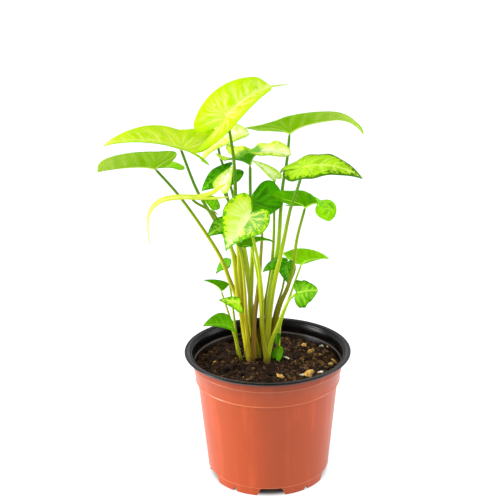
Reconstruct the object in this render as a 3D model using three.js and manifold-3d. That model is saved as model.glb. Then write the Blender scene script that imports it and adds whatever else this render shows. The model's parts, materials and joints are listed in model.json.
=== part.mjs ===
// An arrowhead plant (Syngonium) growing in a round nursery pot.
//
// Millimetres, +Z up. The origin is the middle of the pot's base, on the surface that the pot
// stands on, and -Y is the front. The plant is a clump of short shoots. Each shoot is one solid
// with its petioles, and each leaf blade is a solid of its own at the end of a petiole.

import * as THREE from 'three';
import { mergeVertices } from 'three/addons/utils/BufferGeometryUtils.js';
import Module from 'manifold-3d';

const wasm = await Module();
wasm.setup();

const DEG = Math.PI / 180;

// ---------------------------------------------------------------- driving dimensions

const CLEARANCE = 0.3; // between pieces that touch

const POT = {
  height: 103.4,
  rimRadius: 65,
  rimWidth: 4.7,
  lip: 1.8, // thickness of the rim's flange
  wall: 1.2,
  footRadius: 47,
  footHeight: 7,
  floor: 5, // underside of the floor above the surface
  dimple: 9, // radius of the flat spot in the middle of the floor, which reaches the surface
  segments: 48,
};

const ARCHES = {
  count: 5,
  turn: 2.5, // degrees from the front
  topWidth: 16,
  baseWidth: 23,
  height: 6.2,
  notchWidth: 4,
  notchHeight: 3,
};

const DRAINS = { count: 5, radius: 4, circle: 34 };

const MIX = {
  level: 89.5, // at the wall
  mound: 4, // extra height round the shoots
  moundRadius: 26,
  lump: 1.3,
  socketDepth: 12,
};

const BLADE_THICKNESS = 0.8;
const PETIOLE_SIDES = 6;
const NECK_SIDES = 12;

// ---------------------------------------------------------------- finishes

const finish = (color, roughness) => new THREE.MeshStandardMaterial({ color, roughness, metalness: 0 });

const FINISHES = {
  pot: finish(0xc85a38, 0.5),
  mix: finish(0x2a1c14, 0.95),
  shoot: finish(0x8f9a3a, 0.5),
  lime: finish(0xc6e63a, 0.45),
  green: finish(0x58b01e, 0.45),
  dark: finish(0x2f7a1c, 0.45),
};

// ---------------------------------------------------------------- leaves
//
// joint: where the petiole meets the blade; tip: the blade's point.
// half:  widest half-width. lobe: length of the two lobes behind the joint.
// roll:  turn about the line from joint to tip; positive lowers the right-hand side, seen
//        from above and looking towards the tip.
// arch:  how far the midrib turns from joint to tip. fold: rise of each half from the midrib.
// curl:  how far each half bends down again towards its margin. twist: extra roll at the tip.
// sag:   how steeply the lobes hang at their ends. dip: depth of the funnel at the joint.
// wave:  height of the waves along the margin. full: fullness of the front half's outline.
// drip:  share of the length that is a drawn-out tip. close: how far the lobes close the notch.
// knee:  [place, extra turn] of a sharper bend in the midrib. flare: extra rise of the lobes.
// Pairs are [left, right].

const LEAVES = {
  leaf_01: {
    joint: [-28, -10, 291], tip: [17, 14, 309], half: [22, 19], lobe: [22, 32], full: [1.9, 1.4],
    drip: 0.2, close: 0.6, roll: 18, arch: 60, fold: 24, curl: 10, sag: [25, 15], finish: 'lime',
  },
  leaf_02: {
    joint: [-62, -16, 269], tip: [-116, -30, 275], half: 25, lobe: [18, 32], full: [1.3, 1.05],
    roll: -6, arch: 38, fold: 20, curl: 10, sag: [45, -20], flare: [0, 30], finish: 'lime',
  },
  leaf_03: {
    joint: [-84, 14, 246], tip: [-126, 2, 247], half: 18, lobe: [17, 20], full: 3.5,
    roll: 28, arch: 14, fold: 28, curl: 10, twist: 12, sag: [-12, 40], flare: [10, 28], dip: 2,
    finish: 'green',
  },
  leaf_04: {
    joint: [18, 28, 269], tip: [73, 16, 271], half: [18, 15], lobe: 32, full: 1.5,
    roll: -33, arch: 8, knee: [0.75, 55], fold: [34, 18], curl: 10, sag: [-16, -5],
    flare: -20, dip: 5.5, finish: 'green',
  },
  leaf_05: {
    joint: [-38, 42, 261], tip: [-13, 46, 265], half: 14, lobe: 19, full: 1.8,
    roll: 28, arch: 40, fold: 15, curl: 10, sag: [50, 75], dip: 2, finish: 'lime',
  },
  leaf_06: {
    joint: [-12, 8, 250], tip: [18, -10, 262], half: [14, 12], lobe: 24, full: [2.2, 1.5],
    roll: 0, arch: 32, fold: [18, 10], curl: 5, twist: 42, sag: [-50, -45], flare: [20, 0],
    dip: 8, wave: -1.2, finish: 'lime',
  },
  leaf_07: {
    joint: [27, -34, 259], tip: [68, -44, 253], half: [20, 18], lobe: [22, 13], close: 1,
    roll: 14, arch: 55, fold: 5, curl: 15, sag: [42, -5], wave: 0.8, finish: 'lime',
  },
  leaf_08: {
    joint: [-13, -40, 224], tip: [-29, -58, 204], half: [15.5, 18.5], lobe: [12, 15], full: [0.55, 1],
    roll: -36, arch: 20, fold: 10, curl: 15, sag: 0, finish: 'lime',
  },
  leaf_09: {
    joint: [-54, -38, 238], tip: [-84, -46, 207], half: 6, lobe: 27,
    roll: 0, arch: 45, knee: [0.5, 62], fold: 8, curl: 0, sag: [40, 5], finish: 'lime',
  },
  leaf_10: {
    joint: [-33, 4, 245], tip: [-48, -6, 234], half: [14, 7], lobe: 14,
    roll: -30, arch: 50, fold: 10, curl: 20, sag: 20, finish: 'dark',
  },
  leaf_11: {
    joint: [-42, 7, 217], tip: [-52, 5, 228], half: 9, lobe: 6,
    roll: -25, arch: 20, fold: 35, curl: 10, sag: 0, finish: 'green',
  },
  leaf_12: {
    joint: [-28, -26, 214], tip: [-43, -38, 209], half: 10, lobe: 9,
    roll: -20, arch: 30, fold: 10, curl: 15, sag: 20, finish: 'dark',
  },
  leaf_13: {
    joint: [-11, 14, 219], tip: [-10.5, 10, 203], half: [24, 7], lobe: [16, 3], close: 0,
    roll: 0, arch: 30, fold: 10, curl: 15, sag: 10, finish: 'green',
  },
  leaf_14: {
    joint: [29, -1, 219], tip: [44, -12, 212], half: [8, 21], lobe: [20, 25], full: 3,
    roll: -28, arch: 40, knee: [0.66, 90], fold: 20, curl: 10, twist: 66, sag: 25, flare: [0, 20],
    dip: 4, finish: 'green',
  },
  leaf_15: {
    joint: [27, 25, 164], tip: [48, 16, 172], half: [12, 16], lobe: 13, full: 1.5,
    roll: -38, arch: 25, fold: 25, curl: 20, sag: -40, dip: 3, finish: 'green',
  },
  leaf_16: {
    joint: [8, -1, 178], tip: [-3, -7, 170], half: 9, lobe: 6,
    roll: 0, arch: 20, fold: -10, curl: 20, sag: 20, finish: 'dark',
  },
  leaf_17: {
    joint: [15, 10, 168], tip: [17, 7, 154], half: 8, lobe: 4,
    roll: 0, arch: 20, fold: 10, curl: 10, sag: 20, finish: 'dark',
  },
  leaf_18: {
    joint: [23, -20, 158], tip: [38, -24, 161], half: [10, 12], lobe: 3, full: 1.6,
    roll: 40, arch: 20, fold: 10, curl: [10, 90], sag: 20, wave: 1.2, finish: 'green',
  },
  leaf_19: {
    joint: [-11, -22, 195], tip: [5, -28, 201], half: 9, lobe: 9,
    roll: -25, arch: 50, fold: 20, curl: 10, sag: 0, dip: 3, finish: 'dark',
  },
  leaf_20: {
    joint: [-31, 24, 161], tip: [-40, 28, 156], half: 8, lobe: 7,
    roll: -30, arch: 30, fold: 40, curl: 10, sag: -20, dip: 2, finish: 'green',
  },
  leaf_21: {
    joint: [-36, 16, 146], tip: [-49, 8, 158], half: 8, lobe: 3.5,
    roll: 25, arch: 20, fold: 30, curl: 10, sag: -60, dip: 2, finish: 'green',
  },
  leaf_22: {
    joint: [-21, -24, 151], tip: [-36, -34, 158], half: [8, 5], lobe: 2,
    roll: -45, arch: 30, fold: 10, curl: 15, sag: 20, wave: 0.6, finish: 'green',
  },
  leaf_23: {
    joint: [-27, -26, 132], tip: [-48, -36, 138], half: [6, 15], lobe: 3,
    roll: -15, arch: 40, fold: 17, curl: 15, sag: 20, finish: 'green',
  },
  leaf_24: {
    joint: [7.2, -1, 98], tip: [11.3, 0, 105], half: 4.8, lobe: 4.5, full: 2.2,
    roll: 40, arch: 20, fold: 10, curl: 20, sag: 20, finish: 'green',
  },
  leaf_25: {
    joint: [7.2, 2, 114], tip: [7.2, 1, 105.5], half: 3, lobe: 2,
    roll: 0, arch: 10, fold: 10, curl: 0, sag: 0, finish: 'dark',
  },
  leaf_26: {
    joint: [6, 24, 236], tip: [-11, 40, 245], half: [3.5, 6.5], lobe: 4,
    roll: -15, arch: 20, fold: 10, curl: 10, sag: 20, finish: 'lime',
  },
  leaf_27: {
    joint: [-33, -20, 241], tip: [-24, -16, 256], half: 6.5, lobe: 3,
    roll: 50, arch: 20, fold: 15, curl: 15, sag: 20, finish: 'lime',
  },
};

// ---------------------------------------------------------------- shoots
//
// base: where the shoot stands in the mix. neck: radius of its short stem there.
// Each petiole runs from the neck through its points to its leaf's joint. radii: at the neck
// and at the blade.

const SHOOTS = {
  shoot_left: {
    base: [-13, -1],
    neck: 4.2,
    petioles: [
      {
        leaf: 'leaf_01',
        via: [
          [-18, -3, 126], [-20, -4, 155], [-21, -6, 187],
          [-23, -6, 215], [-23, -7, 241], [-24, -7, 261],
        ],
        radii: [3.4, 1.2],
      },
      {
        leaf: 'leaf_09',
        via: [
          [-17, -6, 118], [-22, -9, 150], [-27, -12, 193], [-33, -14, 204],
          [-38, -18, 218], [-43, -26, 226], [-51, -35, 234],
        ],
        radii: [2.6, 1.1],
      },
      {
        leaf: 'leaf_13',
        via: [[-11, -5, 109], [-10, -6, 130], [-7, -5, 154], [-5, 1, 175], [-4, 13, 200]],
        radii: [2.6, 1.1],
      },
      {
        leaf: 'leaf_12',
        via: [[-16, -9, 125], [-17, -13, 160], [-20, -18, 190]],
        radii: [1.8, 0.9],
      },
      {
        leaf: 'leaf_22',
        via: [[-15, -8, 112], [-17, -14, 132]],
        radii: [1.6, 0.9],
      },
    ],
  },
  shoot_tan: {
    base: [-15.5, 8.5],
    neck: 3.2,
    petioles: [
      {
        leaf: 'leaf_03',
        via: [
          [-18, 6, 117], [-23, 7, 142], [-29, 8, 158],
          [-35, 9, 175], [-48, 10, 198], [-67, 12, 226],
        ],
        radii: [2.4, 1.2],
      },
      {
        leaf: 'leaf_02',
        via: [
          [-18, 4, 117], [-21, 2, 152], [-24, -1, 179],
          [-31, -4, 196], [-41, -6, 215], [-51, -10, 235],
        ],
        radii: [2.2, 1.2],
      },
      {
        leaf: 'leaf_11',
        via: [[-17, 9, 125], [-22, 12, 160], [-31, 11, 192]],
        radii: [1.8, 1],
      },
    ],
  },
  shoot_back: {
    base: [-8, 14],
    neck: 3.4,
    petioles: [
      {
        leaf: 'leaf_05',
        via: [[-13, 16, 138], [-16, 21, 170], [-21, 26, 197], [-27, 32, 224], [-35, 38, 247]],
        radii: [2.4, 1.1],
      },
      {
        leaf: 'leaf_10',
        via: [[-12, 12, 130], [-17, 11, 170], [-27, 6, 215]],
        radii: [2.2, 1],
      },
      {
        leaf: 'leaf_26',
        via: [[-4, 14, 123], [1, 17, 148], [5, 20, 180], [6, 23, 210]],
        radii: [2.2, 1],
      },
    ],
  },
  shoot_middle: {
    base: [-7, 5.5],
    neck: 2.6,
    petioles: [
      {
        leaf: 'leaf_06',
        via: [[-13, 3, 127], [-12, 4, 159], [-11, 5, 188], [-12, 6, 218]],
        radii: [2.6, 1.3],
      },
      {
        leaf: 'leaf_27',
        via: [[-12, 0, 130], [-15, -2, 170], [-20, -12, 208], [-29, -19, 232]],
        radii: [2, 0.9],
      },
    ],
  },
  shoot_right: {
    base: [0, 9],
    neck: 3.4,
    petioles: [
      {
        leaf: 'leaf_04',
        via: [[1, 9, 133], [4, 11, 157], [9, 15, 184], [11, 19, 211], [13, 22, 232], [16, 25, 249]],
        radii: [3, 1.2],
      },
      {
        leaf: 'leaf_14',
        via: [[3, 6, 108], [10, 3, 139], [16, 2, 154], [20, 1, 170], [23, 0, 194]],
        radii: [2.4, 1.2],
      },
      {
        leaf: 'leaf_17',
        via: [[6, 8, 130], [12, 10, 150]],
        radii: [1.6, 0.9],
      },
    ],
  },
  shoot_front: {
    base: [-0.5, -1],
    neck: 4.2,
    petioles: [
      {
        leaf: 'leaf_07',
        via: [
          [0, -3, 117], [4, -9, 154], [10, -16, 185],
          [13, -20, 201], [18, -27, 228], [22, -31, 241],
        ],
        radii: [3, 1.2],
      },
      {
        leaf: 'leaf_08',
        via: [[-4, -6, 125], [-4, -13, 149], [-5, -20, 168], [-7, -28, 189], [-10, -35, 207]],
        radii: [2.4, 1.2],
      },
      {
        leaf: 'leaf_19',
        via: [[-4, -7, 125], [-6, -13, 160], [-9, -18, 182]],
        radii: [1.8, 0.9],
      },
      {
        leaf: 'leaf_16',
        via: [[1, -2, 125], [5, -2, 150]],
        radii: [1.6, 0.9],
      },
      {
        leaf: 'leaf_18',
        via: [[3, -4, 111], [7, -7, 123], [17, -16, 151]],
        radii: [2.2, 1.1],
      },
    ],
  },
  shoot_side: {
    base: [8, 4],
    neck: 2.2,
    petioles: [
      {
        leaf: 'leaf_15',
        via: [[10, 9, 120], [17, 14, 139], [22, 19, 152]],
        radii: [1.8, 0.9],
      },
      {
        leaf: 'leaf_24',
        via: [[7, 0.5, 96]],
        radii: [1, 0.7],
      },
      {
        leaf: 'leaf_25',
        via: [[8.5, 4, 104], [9, 4, 113], [8, 3, 116]],
        radii: [1, 0.7],
      },
    ],
  },
  shoot_small: {
    base: [-20.5, 2],
    neck: 1.8,
    petioles: [
      {
        leaf: 'leaf_23',
        via: [[-24, -11, 114]],
        radii: [1.3, 0.9],
      },
    ],
  },
  shoot_outer: {
    base: [-22.5, 11],
    neck: 1.8,
    petioles: [
      {
        leaf: 'leaf_21',
        via: [[-26, 10, 112], [-31, 13, 130]],
        radii: [1.5, 0.8],
      },
      {
        leaf: 'leaf_20',
        via: [[-25, 13, 112], [-28, 20, 138]],
        radii: [1.4, 0.8],
      },
    ],
  },
};

// ---------------------------------------------------------------- solids

// A closed geometry with its shared vertices merged and its empty triangles dropped.
function sealed(geometry) {
  const bare = geometry.index ? geometry.toNonIndexed() : geometry.clone();
  bare.deleteAttribute('normal');
  bare.deleteAttribute('uv');
  const merged = mergeVertices(bare, 1e-4);
  const corners = merged.index.array;
  const kept = [];
  for (let i = 0; i < corners.length; i += 3) {
    const [a, b, c] = corners.slice(i, i + 3);
    if (a !== b && b !== c && c !== a) kept.push(a, b, c);
  }
  merged.setIndex(kept);
  return merged;
}

function solid(geometry) {
  const closed = sealed(geometry);
  const mesh = new wasm.Mesh({
    numProp: 3,
    vertProperties: new Float32Array(closed.attributes.position.array),
    triVerts: new Uint32Array(closed.index.array),
  });
  return new wasm.Manifold(mesh);
}

function geometryOf(manifold) {
  const mesh = manifold.getMesh();
  const geometry = new THREE.BufferGeometry();
  const places = new Float32Array(mesh.numVert * 3);
  for (let i = 0; i < mesh.numVert; i++) {
    for (let k = 0; k < 3; k++) places[3 * i + k] = mesh.vertProperties[i * mesh.numProp + k];
  }
  geometry.setAttribute('position', new THREE.BufferAttribute(places, 3));
  geometry.setIndex(new THREE.BufferAttribute(new Uint32Array(mesh.triVerts), 1));
  geometry.computeVertexNormals();
  return geometry;
}

function cylinder(radius, low, high, sides, x, y) {
  const shape = new THREE.CylinderGeometry(radius, radius, high - low, sides);
  shape.rotateX(90 * DEG);
  shape.translate(x, y, (low + high) / 2);
  return solid(shape);
}

function turned(profile) {
  const outline = profile.map(([r, z]) => new THREE.Vector2(r, z));
  const shape = new THREE.LatheGeometry(outline, POT.segments);
  shape.rotateX(90 * DEG);
  return shape;
}

// ---------------------------------------------------------------- pot

const RIDGE = { upper: 94, lower: 80.4, step: 1.4 };

// The outside of the pot's wall, bottom to top.
const OUTSIDE = [
  [POT.footRadius, 0],
  [POT.footRadius + 0.4, POT.footHeight - 0.6],
  [POT.footRadius + 1.2, POT.footHeight],
  [55.2, RIDGE.lower - 0.8],
  [55.2 + RIDGE.step, RIDGE.lower],
  [58.4, RIDGE.upper - 0.6],
  [59.1, RIDGE.upper],
  [60.1, POT.height - POT.lip],
];

function wallRadius(z) {
  let i = 1;
  while (i < OUTSIDE.length - 1 && OUTSIDE[i][1] < z) i++;
  const [r0, z0] = OUTSIDE[i - 1];
  const [r1, z1] = OUTSIDE[i];
  return r0 + ((r1 - r0) * (z - z0)) / (z1 - z0);
}

function potSolid() {
  const top = POT.height;
  const underLip = top - POT.lip;
  const outer = POT.rimRadius;
  const inner = outer - POT.rimWidth;
  const floorTop = POT.floor + POT.wall;
  const inside = OUTSIDE.slice(3, -1).reverse().map(([r, z]) => [r - POT.wall, z]);
  const shell = solid(turned([
    [0, 0],
    [POT.dimple, 0],
    [POT.dimple + 4, POT.floor],
    [POT.footRadius - 1.2, POT.floor],
    [POT.footRadius - 1.6, 0],
    ...OUTSIDE,
    [outer - 0.6, underLip + 0.1],
    [outer, underLip + 0.6],
    [outer, top - 0.6],
    [outer - 0.6, top],
    [inner + 0.5, top],
    [inner, top - 0.5],
    ...inside,
    [POT.footRadius - 0.2, floorTop],
    [POT.dimple + 3, floorTop],
    [POT.dimple - 1, POT.wall],
    [0, POT.wall],
  ]));
  return cutFoot(shell);
}

// The arches and notches round the foot, and the drain holes in the floor.
function cutFoot(shell) {
  let pot = shell;
  const depth = 8;
  for (let i = 0; i < ARCHES.count * 2; i++) {
    const turn = (ARCHES.turn + (i * 180) / ARCHES.count) * DEG;
    const isArch = i % 2 === 0;
    const base = isArch ? ARCHES.baseWidth : ARCHES.notchWidth;
    const top = isArch ? ARCHES.topWidth : ARCHES.notchWidth / 2;
    const height = isArch ? ARCHES.height : ARCHES.notchHeight;
    const outline = new THREE.Shape([
      new THREE.Vector2(-base / 2, -1),
      new THREE.Vector2(base / 2, -1),
      new THREE.Vector2(top / 2, height),
      new THREE.Vector2(-top / 2, height),
    ]);
    const cutter = new THREE.ExtrudeGeometry(outline, { depth, bevelEnabled: false });
    cutter.rotateX(90 * DEG);
    cutter.translate(0, -POT.footRadius + 4, 0);
    cutter.rotateZ(turn);
    pot = pot.subtract(solid(cutter));
  }
  for (let i = 0; i < DRAINS.count; i++) {
    const turn = (i * 360) / DRAINS.count * DEG;
    const x = DRAINS.circle * Math.sin(turn);
    const y = -DRAINS.circle * Math.cos(turn);
    pot = pot.subtract(cylinder(DRAINS.radius, POT.floor - 1, POT.floor + POT.wall + 1, 12, x, y));
  }
  return pot;
}

// ---------------------------------------------------------------- potting mix

const CLUMP = [-8, -4];

function mixHeight(x, y) {
  const away = Math.hypot(x - CLUMP[0], y - CLUMP[1]);
  const mound = MIX.mound * Math.exp(-((away / MIX.moundRadius) ** 2));
  const lumps = Math.sin(x * 0.31 + 1.7) * Math.cos(y * 0.27 - 0.6)
    + 0.6 * Math.sin(x * 0.53 - y * 0.44 + 2.1)
    + 0.5 * Math.cos(x * 0.19 + y * 0.71);
  return MIX.level + mound + MIX.lump * lumps * 0.5;
}

function mixSolid(shootList) {
  const gap = POT.wall + CLEARANCE;
  const floorTop = POT.floor + POT.wall + CLEARANCE;
  const edge = (z) => wallRadius(z) - gap;
  const rim = edge(MIX.level);
  const rings = [1, 0.8, 0.6, 0.4, 0.2].map((share) => [rim * share, MIX.level]);
  const shape = sealed(turned([
    [0, POT.wall + CLEARANCE],
    [POT.dimple - 1.4, POT.wall + CLEARANCE],
    [POT.dimple + 2.6, floorTop],
    [edge(POT.footHeight) - 0.4, floorTop],
    [edge(RIDGE.lower - 0.8), RIDGE.lower - 0.8],
    [edge(RIDGE.lower), RIDGE.lower],
    ...rings,
    [0, MIX.level],
  ]));
  const places = shape.attributes.position;
  for (let i = 0; i < places.count; i++) {
    if (places.getZ(i) > MIX.level - 1) places.setZ(i, mixHeight(places.getX(i), places.getY(i)));
  }
  let mix = solid(shape);
  for (const shoot of shootList) {
    const [x, y] = shoot.base;
    const bottom = mixHeight(x, y) - MIX.socketDepth - CLEARANCE;
    mix = mix.subtract(cylinder(shoot.neck + CLEARANCE, bottom, MIX.level + 20, NECK_SIDES, x, y));
  }
  return mix;
}

// ---------------------------------------------------------------- leaf blades

// Half of an arrowhead leaf's outline, from the notch between the lobes round to the tip.
// Across in half-widths, along in lengths from joint (0) to tip (1), or in lobes (down to -1).
const OUTLINE = new THREE.SplineCurve([
  new THREE.Vector2(0, -0.32),
  new THREE.Vector2(0.14, -0.6),
  new THREE.Vector2(0.38, -0.95),
  new THREE.Vector2(0.68, -0.98),
  new THREE.Vector2(0.93, -0.5),
  new THREE.Vector2(1, 0.06),
  new THREE.Vector2(0.86, 0.33),
  new THREE.Vector2(0.56, 0.6),
  new THREE.Vector2(0.24, 0.84),
  new THREE.Vector2(0, 1),
]);
const MIDRIB_STEPS = 40;
const KNEE_REACH = 0.25; // how far a knee's turn spreads along the midrib
const VEIN_CLIMB = 0.5; // how far a side vein runs forward for its run outward
const SMALL_LEAF = 25; // blades shorter than this have half as many ribs
const DRIP_HALF = 1; // half the width of a long drawn-out tip where it leaves the blade

const pair = (value) => (Array.isArray(value) ? value : [value, value]);

// A leaf's values for one of its halves (side -1 or 1), or between the two for the middle (0).
function sided(leaf, name, side) {
  const [left, right] = pair(leaf[name] ?? 0);
  return left + ((right - left) * (side + 1)) / 2;
}

// The midrib as a flat curve: places and headings at even steps, for a line from joint to tip
// of length one. It turns evenly by `arch`, and by the knee's angle round the knee's place.
function midribCurve(leaf) {
  const [kneeAt, kneeTurn] = leaf.knee ?? [0.5, 0];
  const headings = [];
  const points = [[0, 0]];
  for (let i = 0; i <= MIDRIB_STEPS; i++) {
    const share = i / MIDRIB_STEPS;
    const bent = THREE.MathUtils.smoothstep(share, kneeAt - KNEE_REACH, kneeAt + KNEE_REACH);
    headings.push(-(leaf.arch * share + kneeTurn * bent) * DEG);
    if (i === 0) continue;
    const [x, y] = points[i - 1];
    const mean = (headings[i - 1] + headings[i]) / 2;
    points.push([x + Math.cos(mean) / MIDRIB_STEPS, y + Math.sin(mean) / MIDRIB_STEPS]);
  }
  const [endX, endY] = points[MIDRIB_STEPS];
  const reach = Math.hypot(endX, endY);
  const tilt = Math.atan2(endY, endX);
  return {
    length: 1 / reach,
    headings: headings.map((heading) => heading - tilt),
    points: points.map(([x, y]) => [
      (x * Math.cos(tilt) + y * Math.sin(tilt)) / reach,
      (y * Math.cos(tilt) - x * Math.sin(tilt)) / reach,
    ]),
  };
}

// The bent middle surface of a blade: a function from (across, along) to a place.
function bladeSurface(leaf) {
  const { roll, dip = 0, twist = 0, wave = 0 } = leaf;
  const joint = new THREE.Vector3(...leaf.joint);
  const chord = new THREE.Vector3(...leaf.tip).sub(joint);
  const span = chord.length();
  const along = chord.normalize();
  const up = new THREE.Vector3(0, 0, 1).addScaledVector(along, -along.z).normalize();
  up.applyAxisAngle(along, roll * DEG);
  const right = new THREE.Vector3().crossVectors(along, up);
  const midrib = midribCurve(leaf);
  const length = span * midrib.length;
  const throat = 0.13 * length;

  const place = (across, share) => {
    const side = THREE.MathUtils.clamp(across / (0.3 * sided(leaf, 'half', 0)), -1, 1);
    const half = sided(leaf, 'half', Math.sign(across));
    const forward = Math.max(share, 0);
    const back = Math.max(-share, 0) * length;
    const behind = Math.min(back / sided(leaf, 'lobe', side), 1);
    const step = Math.min(Math.floor(forward * MIDRIB_STEPS), MIDRIB_STEPS - 1);
    const part = forward * MIDRIB_STEPS - step;
    const mix = (list, k) => THREE.MathUtils.lerp(list[step][k], list[step + 1][k], part);
    const start = midrib.headings[0];
    let angle = THREE.MathUtils.lerp(midrib.headings[step], midrib.headings[step + 1], part);
    angle += (sided(leaf, 'sag', side) * DEG - start) * behind;
    const mean = (start + angle) / 2;
    const point = joint.clone();
    point.addScaledVector(along, span * mix(midrib.points, 0) - back * Math.cos(mean));
    point.addScaledVector(up, span * mix(midrib.points, 1) - back * Math.sin(mean));

    const tangent = along.clone().multiplyScalar(Math.cos(angle)).addScaledVector(up, Math.sin(angle));
    const normal = up.clone().multiplyScalar(Math.cos(angle)).addScaledVector(along, -Math.sin(angle));
    const aside = right.clone().applyAxisAngle(tangent, twist * forward ** 2 * DEG);
    normal.applyAxisAngle(tangent, twist * forward ** 2 * DEG);
    const width = Math.abs(across);
    const droop = (sided(leaf, 'curl', side) * width) / (2 * half);
    const rise = (sided(leaf, 'fold', side) + sided(leaf, 'flare', side) * behind - droop) * DEG;
    point.addScaledVector(aside, across * Math.cos(rise));
    point.addScaledVector(normal, width * Math.sin(rise));
    const ripple = Math.sin(14 * share + (across > 0 ? 1 : 2.5)) * (width / half) ** 2;
    point.addScaledVector(normal, wave * ripple);
    const radius = Math.hypot(across, share * length);
    point.addScaledVector(up, dip * (1 - Math.exp(-radius / throat)) * (1 - forward));
    return point;
  };
  return { place, length };
}

function bladeGeometry(leaf, thickness) {
  const { place, length } = bladeSurface(leaf);
  const { drip = 0, close = 0 } = leaf;
  const small = length < SMALL_LEAF;
  const ribs = small ? 9 : 16;
  const columns = small ? 2 : 3;
  const middle = [];
  const numbers = new Map();
  const vertex = (key, across, share) => {
    if (!numbers.has(key)) {
      numbers.set(key, middle.length);
      middle.push(place(across, share));
    }
    return numbers.get(key);
  };
  const corner = (side, rib, column) => {
    const edge = OUTLINE.getPoint(rib / ribs);
    const fullness = leaf.full ? sided(leaf, 'full', side) : 1;
    const widen = 1 + (fullness - 1) * THREE.MathUtils.clamp(3 * edge.y, 0, 1);
    const narrow = 1 - close * Math.max(0, 1 - (3 * rib) / ribs);
    const blade = sided(leaf, 'half', side) * narrow * edge.x ** (1 / widen);
    const out = drip > 0 && rib === ribs - 1 ? DRIP_HALF : blade;
    const lobe = sided(leaf, 'lobe', rib === 0 ? 0 : side);
    const end = edge.y < 0 ? (edge.y * lobe) / length : edge.y * (1 - drip);
    const root = Math.max(0, end - (VEIN_CLIMB * edge.x * sided(leaf, 'half', 0)) / length);
    const run = column / columns;
    const share = root + (end - root) * run ** 1.2;
    if (rib === ribs) return vertex('tip', 0, 1);
    if (column === 0) return vertex(root === 0 ? 'joint' : `midrib ${rib}`, 0, root);
    if (rib === 0) return vertex(`notch ${column}`, 0, share);
    return vertex(`${side} ${rib} ${column}`, side * out * run, share);
  };
  const faces = [];
  const addFace = (side, a, b, c) => {
    if (a === b || b === c || c === a) return;
    faces.push(side > 0 ? [a, b, c] : [a, c, b]);
  };
  for (const side of [1, -1]) {
    for (let rib = 0; rib < ribs; rib++) {
      for (let column = 0; column < columns; column++) {
        const a = corner(side, rib, column);
        const b = corner(side, rib, column + 1);
        const c = corner(side, rib + 1, column + 1);
        const d = corner(side, rib + 1, column);
        addFace(side, a, b, c);
        addFace(side, a, c, d);
      }
    }
  }
  return thickened(middle, faces, thickness);
}

// A sheet of triangles given a thickness, with a wall round its margin.
function thickened(middle, faces, thickness) {
  const normals = middle.map(() => new THREE.Vector3());
  const edges = new Map();
  for (const [a, b, c] of faces) {
    const first = middle[b].clone().sub(middle[a]);
    const area = first.cross(middle[c].clone().sub(middle[a]));
    for (const i of [a, b, c]) normals[i].add(area);
    for (const [i, j] of [[a, b], [b, c], [c, a]]) edges.set(`${i} ${j}`, [i, j]);
  }
  const count = middle.length;
  const places = [];
  for (const way of [1, -1]) {
    middle.forEach((point, i) => {
      const moved = point.clone().addScaledVector(normals[i].clone().normalize(), (way * thickness) / 2);
      places.push(...moved.toArray());
    });
  }
  const corners = [];
  for (const [a, b, c] of faces) corners.push(a, b, c, a + count, c + count, b + count);
  for (const [i, j] of edges.values()) {
    if (!edges.has(`${j} ${i}`)) corners.push(j, i, i + count, j, i + count, j + count);
  }
  const geometry = new THREE.BufferGeometry();
  geometry.setAttribute('position', new THREE.Float32BufferAttribute(places, 3));
  geometry.setIndex(corners);
  geometry.computeVertexNormals();
  return geometry;
}

// ---------------------------------------------------------------- shoots

// A tapered tube along a curve through the points, closed at both ends.
function taperedTube(points, radii) {
  const curve = new THREE.CatmullRomCurve3(points, false, 'centripetal');
  const steps = 2 * (points.length - 1);
  const frames = curve.computeFrenetFrames(steps, false);
  const places = [];
  const corners = [];
  for (let i = 0; i <= steps; i++) {
    const centre = curve.getPointAt(i / steps);
    const radius = radii[1] + (radii[0] - radii[1]) * (1 - i / steps) ** 1.5;
    for (let k = 0; k < PETIOLE_SIDES; k++) {
      const turn = (k * 2 * Math.PI) / PETIOLE_SIDES;
      const point = centre.clone();
      point.addScaledVector(frames.normals[i], radius * Math.cos(turn));
      point.addScaledVector(frames.binormals[i], radius * Math.sin(turn));
      places.push(...point.toArray());
    }
  }
  const ring = (i, k) => i * PETIOLE_SIDES + (k % PETIOLE_SIDES);
  for (let i = 0; i < steps; i++) {
    for (let k = 0; k < PETIOLE_SIDES; k++) {
      corners.push(ring(i, k), ring(i, k + 1), ring(i + 1, k + 1));
      corners.push(ring(i, k), ring(i + 1, k + 1), ring(i + 1, k));
    }
  }
  for (let k = 1; k < PETIOLE_SIDES - 1; k++) {
    corners.push(ring(0, 0), ring(0, k + 1), ring(0, k));
    corners.push(ring(steps, 0), ring(steps, k), ring(steps, k + 1));
  }
  const geometry = new THREE.BufferGeometry();
  geometry.setAttribute('position', new THREE.Float32BufferAttribute(places, 3));
  geometry.setIndex(corners);
  return geometry;
}

// A leaf a little wider and longer all round, so that its petiole stops clear of its margin.
function spread(leaf) {
  const half = pair(leaf.half).map((value) => value + 2 * CLEARANCE);
  const lobe = pair(leaf.lobe).map((value) => value + 4 * CLEARANCE);
  return { ...leaf, half, lobe };
}

function shootSolid(shoot) {
  const [x, y] = shoot.base;
  const ground = mixHeight(x, y);
  let body = cylinder(shoot.neck, ground - MIX.socketDepth, ground + 1, NECK_SIDES, x, y);
  for (const petiole of shoot.petioles) {
    const leaf = LEAVES[petiole.leaf];
    const stops = [[x, y, ground - 1], ...petiole.via, leaf.joint];
    const tube = solid(taperedTube(stops.map((stop) => new THREE.Vector3(...stop)), petiole.radii));
    const room = solid(bladeGeometry(spread(leaf), BLADE_THICKNESS + 2 * CLEARANCE));
    body = body.add(largest(tube.subtract(room)));
  }
  return body;
}

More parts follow.
